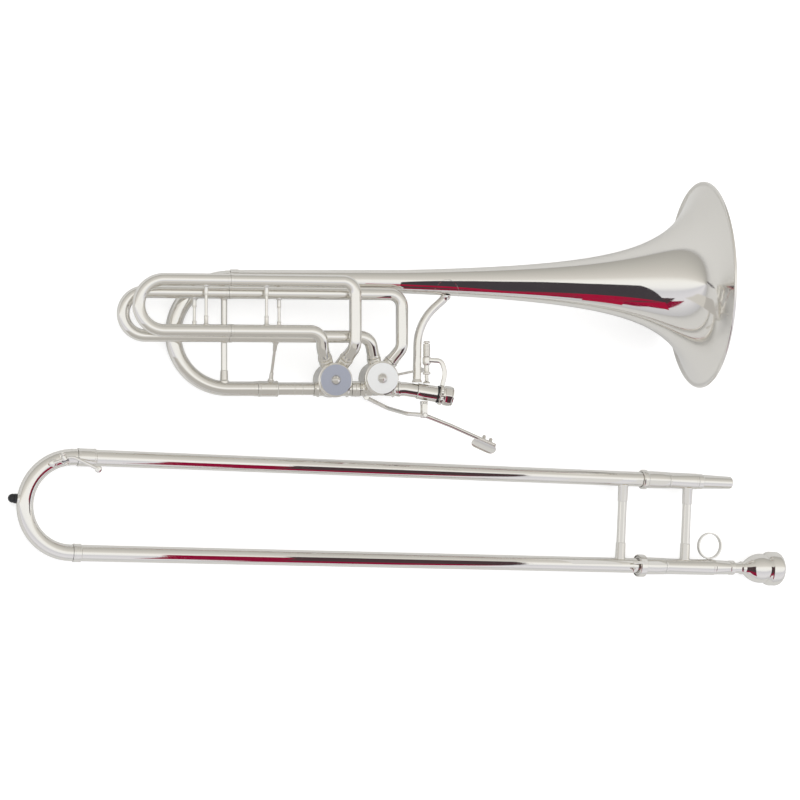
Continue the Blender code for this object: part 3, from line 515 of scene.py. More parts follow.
# %% The bell
RIM_X, RIM_RADIUS, RIM_THICK = -0.9, 115.9, 1.6
rim_angles = [math.radians(degrees) for degrees in range(205, -40, -20)]
rim = [(RIM_X + RIM_THICK * math.cos(a), RIM_RADIUS + RIM_THICK * math.sin(a)) for a in rim_angles]
band = eased([
    (STEM_END, STEM_END_RADIUS - WALL), (STEM_END, 11.3), (-529.5, 11.4), (-529.2, 10.75),
    (-528.0, horn_radius(-528.0)),
], 0.3)
outside = [(x, horn_radius(x)) for x in stations]
inside = [inside_of(x) for x in reversed(stations)]
turned(
    "bell", band[:-1] + outside + rim + inside, (0, 0, 0), X_AXIS, 144,
    BELL, "root", ["bell_flare", "bell_stem"],
)

# %% [markdown]
# ## The brace flange on the bell
# The hand brace would dent the thin bell if it met it directly, so a saddle plate is soldered on first. A disc
# is drawn flat, with rings inset in it, and each point is then dropped onto the horn and spread round it. So
# the plate hugs the bell like the real one, which is pressed to shape.

# %% The brace flange
FLANGE_X, FLANGE_RADIUS, FLANGE_RISE, FLANGE_WRAP, FLANGE_SIDES = -299.0, 16.0, 1.1, 1.6, 64
FLANGE_SINK, FLANGE_EDGE, EDGE_SHARE = -0.3, 1.2, 0.25
flange = bmesh.new()
bmesh.ops.create_circle(flange, cap_ends=True, segments=FLANGE_SIDES, radius=FLANGE_RADIUS)
for ring_width in (0.5, 0.7, 2.6, 2.6, 2.6, 2.6, 2.6):
    middle = [f for f in flange.faces if len(f.verts) == FLANGE_SIDES]
    bmesh.ops.inset_region(flange, faces=middle, thickness=ring_width, use_even_offset=True)
skin = bmesh.ops.extrude_face_region(flange, geom=flange.faces[:])["geom"]
raised = {g for g in skin if isinstance(g, bmesh.types.BMVert)}
for vert in flange.verts:
    across, along = vert.co.x * FLANGE_WRAP, vert.co.y
    inward = (FLANGE_RADIUS - vert.co.xy.length) / FLANGE_EDGE
    lift = FLANGE_RISE * (EDGE_SHARE + (1 - EDGE_SHARE) * min(1.0, inward)) if vert in raised else FLANGE_SINK
    reach = horn_radius(FLANGE_X + along) + lift
    angle = across / horn_radius(FLANGE_X)
    vert.co = Vector((FLANGE_X + along, -reach * math.cos(angle), reach * math.sin(angle)))
finish("bell_brace_flange_plate", flange, BELL, "root", ["bell_brace_flange"])

# %% [markdown]
# ## The main tuning slide
# The bow at the back of the bell section is the main tuning slide. It is conical: the player's air reaches it
# from the valves at the narrow leg and leaves by the wide leg into the bell. A soldered strut keeps the legs
# parallel. The bend is spun step by step, growing slimmer, and each leg is turned to run in its outer tube.

# %% The main tuning slide
LINE_Y = -119.0
ON_LINE = (0, LINE_Y, 0)
HALF_BOW = -LINE_Y / 2
BOW_END, NARROW_END, LEG_END = -538.8, -508.3, -452.0
BOW_CORNER = BOW_END - 2 - HALF_BOW


def strut(shape, start, end, radius, foot, foot_length, sink, steps=28):
    """A brace: a rod with a stepped, flared foot at each end. sink lets a foot hug the tube that it meets."""
    start, end = Vector(start), Vector(end)
    half = [
        (-sink, 0), (-sink, foot + 1.3), (0.5, foot + 1.0), (1.3, foot + 0.25), (2.4, foot),
        (foot_length - 0.6, foot - 0.3), (foot_length, foot - 0.45), (foot_length + 0.3, radius),
    ]
    spun(shape, both_ends(half, (end - start).length), start, end - start, steps)


bow = bmesh.new()
bow_corners = [(BOW_END, 0, 0), (BOW_CORNER, 0, 0), (BOW_CORNER, LINE_Y, 0), (NARROW_END, LINE_Y, 0)]
bent(bow, bow_corners, 9.8, HALF_BOW, sides=40, end_radius=8.0)
spun(bow, rod(8.6, BOW_END - 4, LEG_END), steps=40)
spun(bow, rod(5.5, NARROW_END - 4, LEG_END), ON_LINE, steps=32)
spun(bow, sleeve(9.0, 10.15, BOW_END - 5.0, BOW_END))
spun(bow, sleeve(7.0, 8.35, NARROW_END - 4.0, NARROW_END), ON_LINE, steps=40)
finish("tuning_bow", bow, BELL, "main_tuning_slide", ["tuning_slide_crook"])

bow_strut = bmesh.new()
strut(bow_strut, (-545, -9.6, 0), (-545, LINE_Y + 7.9, 0), 3.4, 4.4, 12.0, sink=2.3)
finish("tuning_bow_strut", bow_strut, BELL, "main_tuning_slide", ["tuning_slide_brace"])

# %% [markdown]
# ## The lower line
# The narrow leg slides in the lower line tube, whose mouth has a wide ferrule with a bead at each end. Behind
# it the tube steps down to the size of the valve's port, with two fine solder rings where the tubes join. A
# short sleeve couples the two valves.

# %% The lower line
line_outline = [
    (-508.0, 6.0), (-508.0, 8.4), (-507.4, 8.9), (-505.6, 8.95), (-505.1, 8.6), (-488.6, 8.6), (-488.1, 8.95),
    (-486.7, 8.9), (-486.0, 8.2), (-485.8, 7.0), (-468.0, 7.0), (-467.8, 7.25), (-467.2, 7.25), (-467.0, 7.0),
    (-459.5, 7.0), (-459.3, 7.25), (-458.7, 7.25), (-458.5, 7.0), (-446.9, 7.0), (-446.8, 6.8), (-446.8, 6.0),
]
turned("lower_line", line_outline, ON_LINE, X_AXIS, 40, BELL, "root", ["lower_line_tube"])

coupling = bmesh.new()
spun(coupling, sleeve(6.0, 8.6, -404.2, -395.3), ON_LINE, steps=40)
spun(coupling, ring_bead(-399.8, 8.55, 0.4), ON_LINE, steps=40)
finish("coupling_sleeve", coupling, BELL, "root", ["valve_coupling"])

# %% [markdown]
# ## The two rotary valves
# Each valve is a drum with four short pipes: two on the main line and two that lead to its own loop. Inside it
# a rotor turns a quarter turn and sends the air round the loop. The casing is turned and its rims are beaded.
# The pipes are turned too and run into the drum. A soldered collar shows where the line's pipes meet it.

# %% Valve casings
VALVE_1, VALVE_2 = Vector((-374.0, -107.5, 0.0)), Vector((-425.5, -109.5, 0.0))
HALF_HEIGHT = 22.0
# Each port of a loop: where it leaves the drum, the corner that it points at, and its length.
BACK_IN = (Vector((-377.0, -101.0, 4.0)), Vector((-387.0, -62.0, 18.5)), 18.0)
BACK_OUT = (Vector((-371.0, -101.0, 4.0)), Vector((-351.0, -74.0, 18.5)), 18.0)
FRONT_IN = (Vector((-429.5, -102.0, 1.0)), Vector((-441.0, -76.0, 31.0)), 27.0)
FRONT_OUT = (Vector((-421.5, -101.0, 1.0)), Vector((-406.0, -73.0, 37.5)), 27.0)


def casing(name, centre, ports, node):
    """One valve casing with its four ports and the plate below that the stop arm works against."""
    shape = bmesh.new()
    drum = [
        (-HALF_HEIGHT, 0), (-HALF_HEIGHT, 17.9), (-21.5, 18.5), (-20.4, 19.0), (-19.4, 19.0), (-18.9, 18.6),
        (16.6, 18.6), (17.1, 19.0), (20.9, 19.0), (21.7, 18.6), (HALF_HEIGHT, 18.0), (HALF_HEIGHT, 17.3),
        (17.2, 17.3), (17.2, 0),
    ]
    spun(shape, drum, centre, Z_AXIS, 72)
    spun(shape, rod(13.9, -25.2, -21.4, 0.6), centre, Z_AXIS, 48)
    pipe_end = eased([(0, 8.0), (12.4, 8.0), (12.4, 8.35), (13.0, 8.35), (13.0, 6.2)], 0.25)
    for side in (-1, 1):
        start, way = (centre.x + side * 8.0, LINE_Y, 0), (side, 0, 0)
        spun(shape, [(0, 0), *pipe_end, (11.0, 6.0), (11.0, 0)], start, way, 40)
        spun(shape, [(5.0, 7.0), (8.0, 9.6), (9.6, 8.5), (10.6, 8.2), (10.8, 7.0)], start, way, 40)
    for root, corner, length in ports:
        way = (corner - root).normalized()
        port_end = eased([(0, 7.7), (length, 7.7), (length, 5.6)], 0.4)
        spun(shape, [(0, 0), *port_end, (length - 2.0, 5.6), (length - 2.0, 0)], root, way, 36)
        spun(shape, ring_bead(length - 1.4, 7.6, 0.45), root, way, 36)
    finish(name, shape, BELL, "root", [node])


casing("valve_1_drum", VALVE_1, (BACK_IN, BACK_OUT), "valve_1_casing")
casing("valve_2_drum", VALVE_2, (FRONT_IN, FRONT_OUT), "valve_2_casing")

# %% [markdown]
# ## Valve caps
# The cap that shows is a flat round cover with an eased rim and a small polished nipple in the middle, like a
# drop. The satin face and the bright nipple are two finishes on one turned piece, so all but the flat face
# gets a second material.

# %% Valve caps
CAP_TOP, SATIN_FROM, SATIN_TO = 26.9, 5.8, 16.6


def cap(name, centre, node, face_finish):
    """A valve cap: satin face, bright nipple and rim."""
    shape = bmesh.new()
    face_uv = shape.loops.layers.uv.new("face_mm")
    outline = [
        (21.4, 0), (21.4, 17.0), (22.3, 17.0), (22.3, 17.3), (22.7, 17.7), (26.0, 17.7), (26.7, 17.45),
        (27.0, 16.9), (27.0, 16.2), (27.0, 12.0), (27.0, 8.4), (27.0, 6.3), (27.1, 5.4), (27.5, 5.0),
        (28.3, 4.6), (29.2, 3.7), (30.2, 2.5), (31.1, 1.3), (31.5, 0.6), (31.6, 0),
    ]
    spun(shape, outline, centre, Z_AXIS, 72)
    for face in shape.faces:
        middle = face.calc_center_median() - centre
        flat_top = middle.z > CAP_TOP and SATIN_FROM < middle.xy.length < SATIN_TO
        face.material_index = 0 if flat_top else 1
        for loop in face.loops:
            loop[face_uv].uv = (loop.vert.co - centre).xy
    piece = finish(name, shape, BELL, "root", [node], face_finish, sharp=28)
    piece.data.materials.append(silver)


# Each cap's face colour is a painted reflection: pale white on the first, blue-grey on the second.
cap("valve_1_cover", VALVE_1, "valve_1_cap", satin_cap_painted_bright_reflection)
cap("valve_2_cover", VALVE_2, "valve_2_cap", satin_cap_painted_blue_grey_reflection)

# %% [markdown]
# ## Stop arms
# Under each valve a stop arm is screwed to the rotor's spindle. Its stud takes the cup of the connecting rod.
# The arm is a small forging: a round hub, a flat blade with eased edges, and a pin. The rotors and the bearing
# plates lie inside the casings, so their plain solids stay and only get the silver.

# %% Stop arms
ARM_REACH, ARM_TOP = 11.0, -HALF_HEIGHT - 3.9


def stop_arm(name, centre, angle, stud_end, body, node):
    """A stop arm with its hub, screw head and stud."""
    shape = bmesh.new()
    way = Vector((math.cos(angle), math.sin(angle), 0))
    spun(shape, rod(5.2, ARM_TOP - 4.0, ARM_TOP), centre, Z_AXIS, 36)
    spun(shape, rod(2.6, ARM_TOP - 5.2, ARM_TOP - 3.6, 0.4), centre, Z_AXIS, 24)
    blade_middle = centre + way * ARM_REACH / 2 + Z_AXIS * (ARM_TOP - 2)
    block(shape, (ARM_REACH + 4, 5.0, 2.6), blade_middle, Matrix.Rotation(angle, 4, "Z"), 0.5)
    spun(shape, rod(2.1, stud_end, ARM_TOP - 1.0, 0.3), centre + way * ARM_REACH, Z_AXIS, 24)
    finish(name, shape, BELL, body, [node])


stop_arm("stop_arm_1", VALVE_1, math.radians(135), -31.6, "rotor_1", "valve_1_stop_arm")
stop_arm("stop_arm_2", VALVE_2, math.radians(-45), -36.4, "rotor_2", "valve_2_stop_arm")
for hidden in ("valve_1_rotor", "valve_2_rotor", "valve_1_bearing_plate", "valve_2_bearing_plate"):
    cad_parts[hidden].data.materials.clear()
    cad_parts[hidden].data.materials.append(silver)
print("rotors and bearing plates keep their solids, in silver")

# %% [markdown]
# ## The valve loops
# Each valve's loop is two fixed tubes joined by a tuning bow that slides in them. The tubes bend down at
# their front ends to meet the valve's ports. All are the same bore, so only their routes differ. Each fixed
# tube ends in a small bead, and the bow's joint beside it shows as one fine dark line.

# %% Loop tubes
LOOP_RADIUS, LOOP_JOINT = 6.8, -541.7
FRONT_TOP, FRONT_LOW, FRONT_Z = -2.5, -57.0, 37.5
BACK_TOP, BACK_LOW, BACK_Z = -15.0, -62.0, 18.5


def loop_tube(name, y, z, bends_at, port, node):
    """A fixed loop tube, with fine rings at its open end and where it meets the valve's port."""
    root, corner, length = port
    way = (corner - root).normalized()
    first, last = (LOOP_JOINT, y, z), root + way * (length + 0.3)
    shape = bmesh.new()
    bent(shape, [first, *[(x, y, z) for x in bends_at], corner, last], LOOP_RADIUS, 14.0, sides=32)
    spun(shape, eased([(0.0, 5.8), (0.0, 7.15), (3.4, 7.15), (3.6, 6.6)], 0.2), first, X_AXIS, 36)
    spun(shape, eased([(0.0, 5.8), (0.0, 7.3), (3.0, 7.3), (3.2, 6.6)], 0.25), last, way, 36)
    finish(name, shape, BELL, "root", [node])


loop_tube("front_loop_top_tube", FRONT_TOP, FRONT_Z, [-406.0], FRONT_OUT, "front_loop_upper_tube")
loop_tube("front_loop_low_tube", FRONT_LOW, FRONT_Z, [-443.0], FRONT_IN, "front_loop_lower_tube")
loop_tube("back_loop_top_tube", BACK_TOP, BACK_Z, [-351.0], BACK_OUT, "back_loop_upper_tube")
loop_tube("back_loop_low_tube", BACK_LOW, BACK_Z, [], BACK_IN, "back_loop_lower_tube")

# %% [markdown]
# ## Loop bows and braces
# Each bow is a half circle with two legs that run in the fixed tubes, and a thin rod across it. A second rod
# joins the two fixed tubes. Their feet flare out and sink into the tubes a little, because a real foot is
# filed to the tube's curve and soldered.


# %% Loop bows and braces
def thin_strut(shape, x, upper, lower, z):
    """A thin rod across a loop, each end in a foot with a ball above it."""
    half = [
        (-1.4, 0), (-1.4, 3.9), (0.3, 3.5), (0.9, 2.5), (1.5, 2.3), (8.0, 2.2), (8.4, 2.5), (9.2, 2.5),
        (9.6, 1.7),
    ]
    foot = LOOP_RADIUS - 0.2
    spun(shape, both_ends(half, upper - lower - 2 * foot), (x, upper - foot, z), -Y_AXIS, 24)


def loop_bow(name, upper, lower, centre_x, z, strut_x, body, node):
    """A loop's tuning bow with its legs and strut."""
    shape = bmesh.new()
    half = (upper - lower) / 2
    start, turn_x = LOOP_JOINT - 0.3, centre_x - half
    corners = [(start, upper, z), (turn_x, upper, z), (turn_x, lower, z), (start, lower, z)]
    bent(shape, corners, LOOP_RADIUS, half, sides=32)
    joint = eased([(start, 5.4), (start, 7.1), (start - 2.4, 7.1), (start - 2.6, 6.6)], 0.2)
    for y in (upper, lower):
        spun(shape, rod(5.2, start - 3, -470.0), (0, y, z), steps=28)
        spun(shape, joint, (0, y, z), steps=36)
    thin_strut(shape, strut_x, upper, lower, z)
    finish(name, shape, BELL, body, [node])


loop_bow("front_loop_bow", FRONT_TOP, FRONT_LOW, -612.4, FRONT_Z, -568.0, "front_tuning_slide", "front_loop_crook")
loop_bow("back_loop_bow", BACK_TOP, BACK_LOW, -631.7, BACK_Z, -579.0, "back_tuning_slide", "back_loop_crook")
for name, *strut_place in (
    ("front", -503.0, FRONT_TOP, FRONT_LOW, FRONT_Z), ("back", -487.0, BACK_TOP, BACK_LOW, BACK_Z)
):
    loop_strut = bmesh.new()
    thin_strut(loop_strut, *strut_place)
    finish(f"{name}_loop_strut", loop_strut, BELL, "root", [f"{name}_loop_tube_brace"])
line_strut = bmesh.new()
strut(line_strut, (-490.5, -69.3, 15.2), (-494.0, -109.6, 1.2), 1.6, 2.4, 9.0, sink=2.3, steps=24)
finish("line_strut", line_strut, BELL, "root", ["line_brace"])

# %% [markdown]
# ## The neck and receiver
# From the first valve a short neck leads down to the receiver, the socket that takes the hand slide's tenon.
# The neck is bent, and the receiver is turned about the neck's slope, with a black rubber ring on it.

# %% The neck and receiver
NECK_ANGLE = math.radians(9)
SLOPE = Vector((math.cos(NECK_ANGLE), -math.sin(NECK_ANGLE), 0))
NECK_START = Vector((-352.7, LINE_Y, 0))
NECK_BEND = NECK_START + Vector((8.0, 0, 0))
RECEIVER = NECK_BEND + SLOPE * 14.3

neck = bmesh.new()
bent(neck, [NECK_START, NECK_BEND, NECK_BEND + SLOPE * 14.0], 7.6, 20.0, sides=32)
spun(neck, eased([(0.0, 6.5), (0.0, 8.5), (3.2, 8.5), (3.5, 7.4)], 0.25), NECK_START, X_AXIS, 36)
finish("neck", neck, BELL, "root", ["neck_pipe"])
receiver_outline = [
    (0, 7.0), (0, 8.1), (0.5, 8.7), (2.0, 8.8), (21.3, 9.0), (22.2, 8.9), (22.6, 8.3), (37.8, 8.3), (38.0, 8.1),
    (38.0, 7.5),
]
turned("receiver", receiver_outline, RECEIVER, SLOPE, 44, BELL, "root", ["slide_receiver"])
turned(
    "receiver_rubber_ring", ring_bead(23.6, 8.75, 0.85), RECEIVER, SLOPE, 44,
    BELL, "root", [], rubber, "black_rubber",
)

# %% [markdown]
# ## The lock nut
# A nut on the receiver's mouth clamps the two sections together. It has a knurled collar for the fingers and
# an eight-sided body. The collar is turned, and every second line of its edge is then pressed in a little.

# %% The lock nut
COLLAR_RADIUS, COLLAR_EDGE, COLLAR_LINES, PRESSED = 11.3, 0.15, 64, 0.965
nut = bmesh.new()
collar = eased([
    (25.0, 8.9), (25.0, 10.6), (26.0, COLLAR_RADIUS), (28.6, COLLAR_RADIUS), (29.4, 10.2), (31.0, 9.9),
], 0.3)
spun(nut, [*collar, (31.0, 8.9)], RECEIVER, SLOPE, COLLAR_LINES)
nut_place = set_at(RECEIVER, SLOPE)
for vert in nut.verts:
    off = nut_place.inverted() @ vert.co
    if abs(off.xy.length - COLLAR_RADIUS) < COLLAR_EDGE:
        line = round(math.atan2(off.y, off.x) / (math.tau / COLLAR_LINES))
        off.xy *= 1.0 if line % 2 else PRESSED
        vert.co = nut_place @ off
nut_body(nut, 8, 11.35, 8.0, RECEIVER + SLOPE * 35.0, SLOPE, 0.9, 3)
spun(nut, sleeve(8.9, 10.4, 39.2, 40.6, 0.4), RECEIVER, SLOPE)
finish("lock_nut_piece", nut, BELL, "lock_nut", ["receiver_lock_nut"], sharp=24)

# %% [markdown]
# ## The hand brace
# The left hand holds this bar. It leaves the flange on the bell with a short turn, swings back in one long
# bend and comes straight down to the neck. It stands on a small foot at both ends. The bending helper makes
# it, with a radius for each bend.

# %% The hand brace
BRACE_X = -330.5


def neck_line(x):
    """The height in y of the neck's axis at x, where it slopes."""
    return NECK_BEND.y - math.tan(NECK_ANGLE) * (x - NECK_BEND.x)


hand_top, neck_top = -horn_radius(-299) - 1.5, neck_line(BRACE_X) + 9.1
hand_foot = (-298.5, hand_top + 0.5, 0)
hand_path = [hand_foot, (-300.5, hand_top - 3.0, 0), (-329.8, hand_top - 29.0, 0), (BRACE_X, neck_top + 0.6, 0)]
hand = bmesh.new()
bent(hand, hand_path, 4.5, [6.0, 58.0])
bell_foot = capped([(0, 6.2), (1.6, 5.9), (2.6, 5.2), (4.2, 4.3)], 0.4)
neck_foot = capped([(0, 5.8), (1.6, 5.4), (2.8, 4.8), (4.0, 4.4)], 0.3)
spun(hand, bell_foot, hand_foot, -Y_AXIS, 32)
spun(hand, neck_foot, (BRACE_X, neck_top + 0.4, 0), Y_AXIS, 32)
finish("hand_brace_bar", hand, BELL, "root", ["hand_brace"])

# %% [markdown]
# ## Springs
# The first lever and the water key are each sent back by a coil of steel wire. A coil is a small ring, spun
# round the axis while it climbs by the pitch at each turn, which the spin operator does by itself.

# %% Springs
COIL_STEPS = 20


def coil(shape, centre, axis, reach, wire, pitch, turns):
    """Adds a coil spring: reach is its radius, wire the wire's radius, pitch its climb for each turn."""
    side = axis.orthogonal().normalized()
    start = set_at(Vector(centre) + side * reach, axis.cross(side))
    ring = bmesh.ops.create_circle(shape, cap_ends=True, segments=8, radius=wire, matrix=start)["verts"]
    steps = round(COIL_STEPS * turns)
    last = bmesh.ops.spin(
        shape, geom=edges_of(ring) + ring, cent=centre, axis=axis, dvec=axis * pitch * turns / steps,
        angle=math.tau * turns, steps=steps,
    )["geom_last"]
    bmesh.ops.edgeloop_fill(shape, edges=[g for g in last if isinstance(g, bmesh.types.BMEdge)])


print("a coil takes", COIL_STEPS, "steps for each turn")

# %% [markdown]
# ## The first thumb lever
# The left thumb works both valves. The first lever is a long bent rod that rocks on a saddle under the neck,
# with a touch plate at one end and a stud at the other. The plate has round corners, and two small screws
# hold it, so that it can be shifted to fit the hand. A return spring wraps round the pivot.

# %% The first lever's saddle
RECEIVER_RISE = 9.0 / math.cos(NECK_ANGLE)
PIVOT_1 = Vector((-322.6, -148.0, 0.0))
SADDLE_TOP = neck_line(PIVOT_1.x) - RECEIVER_RISE - 0.9
EAR_END = PIVOT_1.y - 3.0

saddle = bmesh.new()
block(saddle, (7.0, 4.0, 12.0), (PIVOT_1.x, SADDLE_TOP - 2.0, 0), ease=0.8, segments=3)
for z in (-4.9, 4.9):
    ear = (6.0, SADDLE_TOP - EAR_END, 2.2)
    block(saddle, ear, (PIVOT_1.x, (SADDLE_TOP + EAR_END) / 2, z), ease=0.6, segments=3)
finish("lever_1_saddle_piece", saddle, BELL, "root", ["lever_1_saddle"])
screw_outline = capped([(-7.4, 1.3), (6.2, 1.3), (6.2, 2.7), (7.8, 2.7), (8.4, 2.0)], 0.3)
turned("lever_1_screw", screw_outline, PIVOT_1, Z_AXIS, 28, BELL, "root", ["lever_1_pivot_screw"])

# %% [markdown]
# ## The first lever's rod and touch
# The rod runs from the touch to the pivot, then bends down and under to the stud that moves the link. The
# plate faces up and outwards, to where the thumb comes from, and its screws go in from behind.

# %% The first lever
TAIL_1 = Vector((VALVE_1.x - ARM_REACH * math.sqrt(0.5), -128.0, -40.0))
ROD_WAY = Vector((46.0, -20.3, 0)).normalized()
TOUCH_WAY = Vector((ROD_WAY.y, -ROD_WAY.x, 0)) * 0.77 + Z_AXIS * 0.64
TOUCH_SIDE = TOUCH_WAY.cross(ROD_WAY)
ON_ROD = Vector((-251.5, -177.9, 0))

lever_1 = bmesh.new()
lever_path = [TAIL_1, (-357, -140.5, -36), (-341, -146.5, -6), PIVOT_1, (-292, -160, 0), (-241.0, -182.5, 0)]
bent(lever_1, lever_path, 2.3, [9.0, 9.0, 9.0, 60.0], sides=20)
spun(lever_1, sleeve(1.7, 3.3, -3.3, 3.3, 0.4), PIVOT_1, Z_AXIS, 32)
spun(lever_1, rod(2.1, -40.0, -36.5, 0.3), (TAIL_1.x, TAIL_1.y, 0), Z_AXIS, 24)
plate_turn = Matrix((ROD_WAY, TOUCH_SIDE, TOUCH_WAY)).transposed().to_4x4()
rounded_plate(lever_1, (29.0, 15.0, 1.6), 7.0, ON_ROD + TOUCH_WAY * 2.4 - TOUCH_SIDE * 5.6, plate_turn)
plate_screw = capped([(0, 1.3), (3.6, 1.3), (3.6, 2.1), (6.4, 2.1)], 0.25)
for reach in (-3.6, 4.6):
    spun(lever_1, plate_screw, ON_ROD + ROD_WAY * reach, -TOUCH_WAY, 20)
finish("thumb_lever_1_piece", lever_1, BELL, "lever_1", ["thumb_lever_1"])

spring_foot = PIVOT_1 - Z_AXIS * 8.4
lever_1_spring = bmesh.new()
coil(lever_1_spring, spring_foot, Z_AXIS, 2.6, 0.4, 0.95, 4.25)
bent(lever_1_spring, [spring_foot + X_AXIS * 2.6, PIVOT_1 + Vector((3.6, 14.0, -8.0))], 0.4, [], sides=10)
finish("lever_1_spring", lever_1_spring, BELL, "root", [], spring_steel)

# %% [markdown]
# ## The second thumb lever
# The second lever turns on a post beside the brace: a barrel with grip rings, a strap round to the touch, and
# a crank below. The strap is bent as a round bar and then flattened, as a smith would do it.

# %% The second lever
AXIS_X, CRANK_Y = -319.5, -97.5
POST_FOOT = neck_line(AXIS_X) + RECEIVER_RISE + 1.0
ON_POST = (AXIS_X, 0, 0)
post_outline = capped([
    (POST_FOOT, 4.4), (POST_FOOT + 1.6, 3.6), (POST_FOOT + 2.6, 2.0), (-67.9, 2.0), (-67.9, 3.6),
    (-66.2, 3.4), (-65.6, 2.4),
], 0.3)
turned("lever_2_post_piece", post_outline, ON_POST, Y_AXIS, 32, BELL, "root", ["lever_2_post"])

lever_2 = bmesh.new()
barrel_outline = capped([
    (-103.0, 3.7), (-102.4, 4.3), (-100.6, 4.3), (-100.2, 2.9), (-92.4, 2.9), (-92.0, 4.1), (-90.6, 4.5),
    (-84.0, 4.5), (-83.4, 3.9), (-82.8, 3.6),
], 0.3, core=2.4)
spun(lever_2, barrel_outline, ON_POST, Y_AXIS, 36)
grips = [(-82.8, 2.4), (-82.8, 3.6)]
for ring_y in [-82.4 + 1.5 * i for i in range(9)]:
    grips += [(ring_y, 3.7), (ring_y + 0.3, 4.1), (ring_y + 0.9, 4.1), (ring_y + 1.2, 3.7)]
spun(lever_2, grips + [(-68.9, 3.7), (-68.6, 3.3), (-68.6, 2.4)], ON_POST, Y_AXIS, 36)

older = set(lever_2.verts)
strap_path = [(AXIS_X + 2.4, -87.0, 0), (-303.4, -87.6, 0), (-298.6, -101.0, 0), (-302.4, -115.0, 0)]
bent(lever_2, strap_path, 2.6, [7.0, 22.0], sides=24)
strap = [v for v in lever_2.verts if v not in older]
bmesh.ops.scale(lever_2, vec=(1, 1, 0.42), verts=strap)
bmesh.ops.translate(lever_2, vec=(0, 0, 3.2), verts=strap)
spun(lever_2, rod(2.2, 3.0, 36.4), (AXIS_X, CRANK_Y, 0), -Z_AXIS, 24)
spun(lever_2, sleeve(1.8, 3.1, 30.6, 34.6, 0.3), (AXIS_X, CRANK_Y, 0), -Z_AXIS, 28)
finish("thumb_lever_2_piece", lever_2, BELL, "lever_2", ["thumb_lever_2"])

# %% [markdown]
# ## Connecting rods
# A thin rod carries each lever's movement to its stop arm. Its ends are small cups that snap over the studs,
# and a lock nut beside each cup lets the rod's length be set.

# %% Connecting rods
HALF_ROOT = math.sqrt(0.5)
cup = capped([(-1.8, 2.9), (-1.2, 3.2), (1.2, 3.2), (1.8, 2.9)], 0.3)


def connecting_rod(name, start, end, body, node):
    """A link with a cup on each end and a six-sided lock nut beside each cup."""
    shape = bmesh.new()
    start, end = Vector(start), Vector(end)
    way = (end - start).normalized()
    spun(shape, rod(1.4, 1.5, (end - start).length - 1.5, 0.2), start, way, 20)
    for spot, toward in ((start, way), (end, -way)):
        spun(shape, cup, spot, Z_AXIS, 32)
        nut_body(shape, 6, 2.2, 1.8, spot + toward * 5.2, toward, 0.2, 2)
    finish(name, shape, BELL, body, [node])


STUD_1 = VALVE_1 + Vector((-ARM_REACH, ARM_REACH, 0)) * HALF_ROOT
STUD_2 = VALVE_2 + Vector((ARM_REACH, -ARM_REACH, 0)) * HALF_ROOT
connecting_rod("connecting_rod_1", (STUD_1.x, STUD_1.y, -34.0), (TAIL_1.x, TAIL_1.y, -34.0), "link_1", "link_1")
connecting_rod("connecting_rod_2", (STUD_2.x, STUD_2.y, -38.6), (AXIS_X, CRANK_Y, -38.6), "link_2", "link_2")

# %% [markdown]
# ## The inner slide
# The inner slide is two drawn tubes of nickel silver that the outer slide runs over. At the player's end each
# passes through a cork barrel, a flared sleeve with a felt in it that stops the outer slide softly, and then a
# brace ferrule. The upper one ends in the tenon that goes into the bell section, the lower one in the
# mouthpiece receiver. All are turned, with the steps and fine lines that the joints show.

# %% The inner slide
HALF_SPACING, SLIDE_BOW_X = 51.0, -370.0
UPPER, LOWER = (0, HALF_SPACING, 0), (0, -HALF_SPACING, 0)
barrel_outline = [
    (302.0, 9.1), (302.0, 10.4), (302.3, 11.0), (303.0, 11.4), (304.2, 11.55), (306.6, 11.55), (307.8, 11.4),
    (308.6, 10.9), (309.1, 10.35), (309.6, 10.2), (326.0, 9.95), (336.4, 9.65), (336.9, 9.4), (337.0, 9.0),
    (337.0, 7.8), (331.5, 7.8), (331.5, 9.1),
]
tube_outline = eased([(-362.0, 6.7), (-362.0, 7.5), (336.5, 7.5), (336.5, 6.7)], 0.2)
felt_outline = sleeve(7.8, 8.85, 314.0, 329.0, 0.6)
for side, at in (("upper", UPPER), ("lower", LOWER)):
    turned(f"inner_tube_{side}", tube_outline, at, X_AXIS, 40, SLIDE, "root", [f"inner_slide_{side}_tube"])
    turned(f"cork_barrel_{side}", barrel_outline, at, X_AXIS, 56, SLIDE, "root", [f"{side}_cork_barrel"])
    turned(
        f"felt_{side}", felt_outline, at, X_AXIS, 40, SLIDE, "root", [f"{side}_barrel_felt"], felt, "bumper_felt"
    )

for side, at, end in (("upper", UPPER, 376.0), ("lower", LOWER, 404.0)):
    ferrule_outline = [
        (337.3, 6.7), (337.3, 9.1), (337.7, 9.5), (339.4, 9.55), (339.9, 9.3), (end - 3.2, 9.3), (end - 3.0, 9.1),
        (end - 2.8, 9.3), (end - 0.5, 9.3), (end, 8.8), (end, 6.7),
    ]
    turned(f"ferrule_{side}", ferrule_outline, at, X_AXIS, 48, SLIDE, "root", [f"{side}_brace_ferrule"])

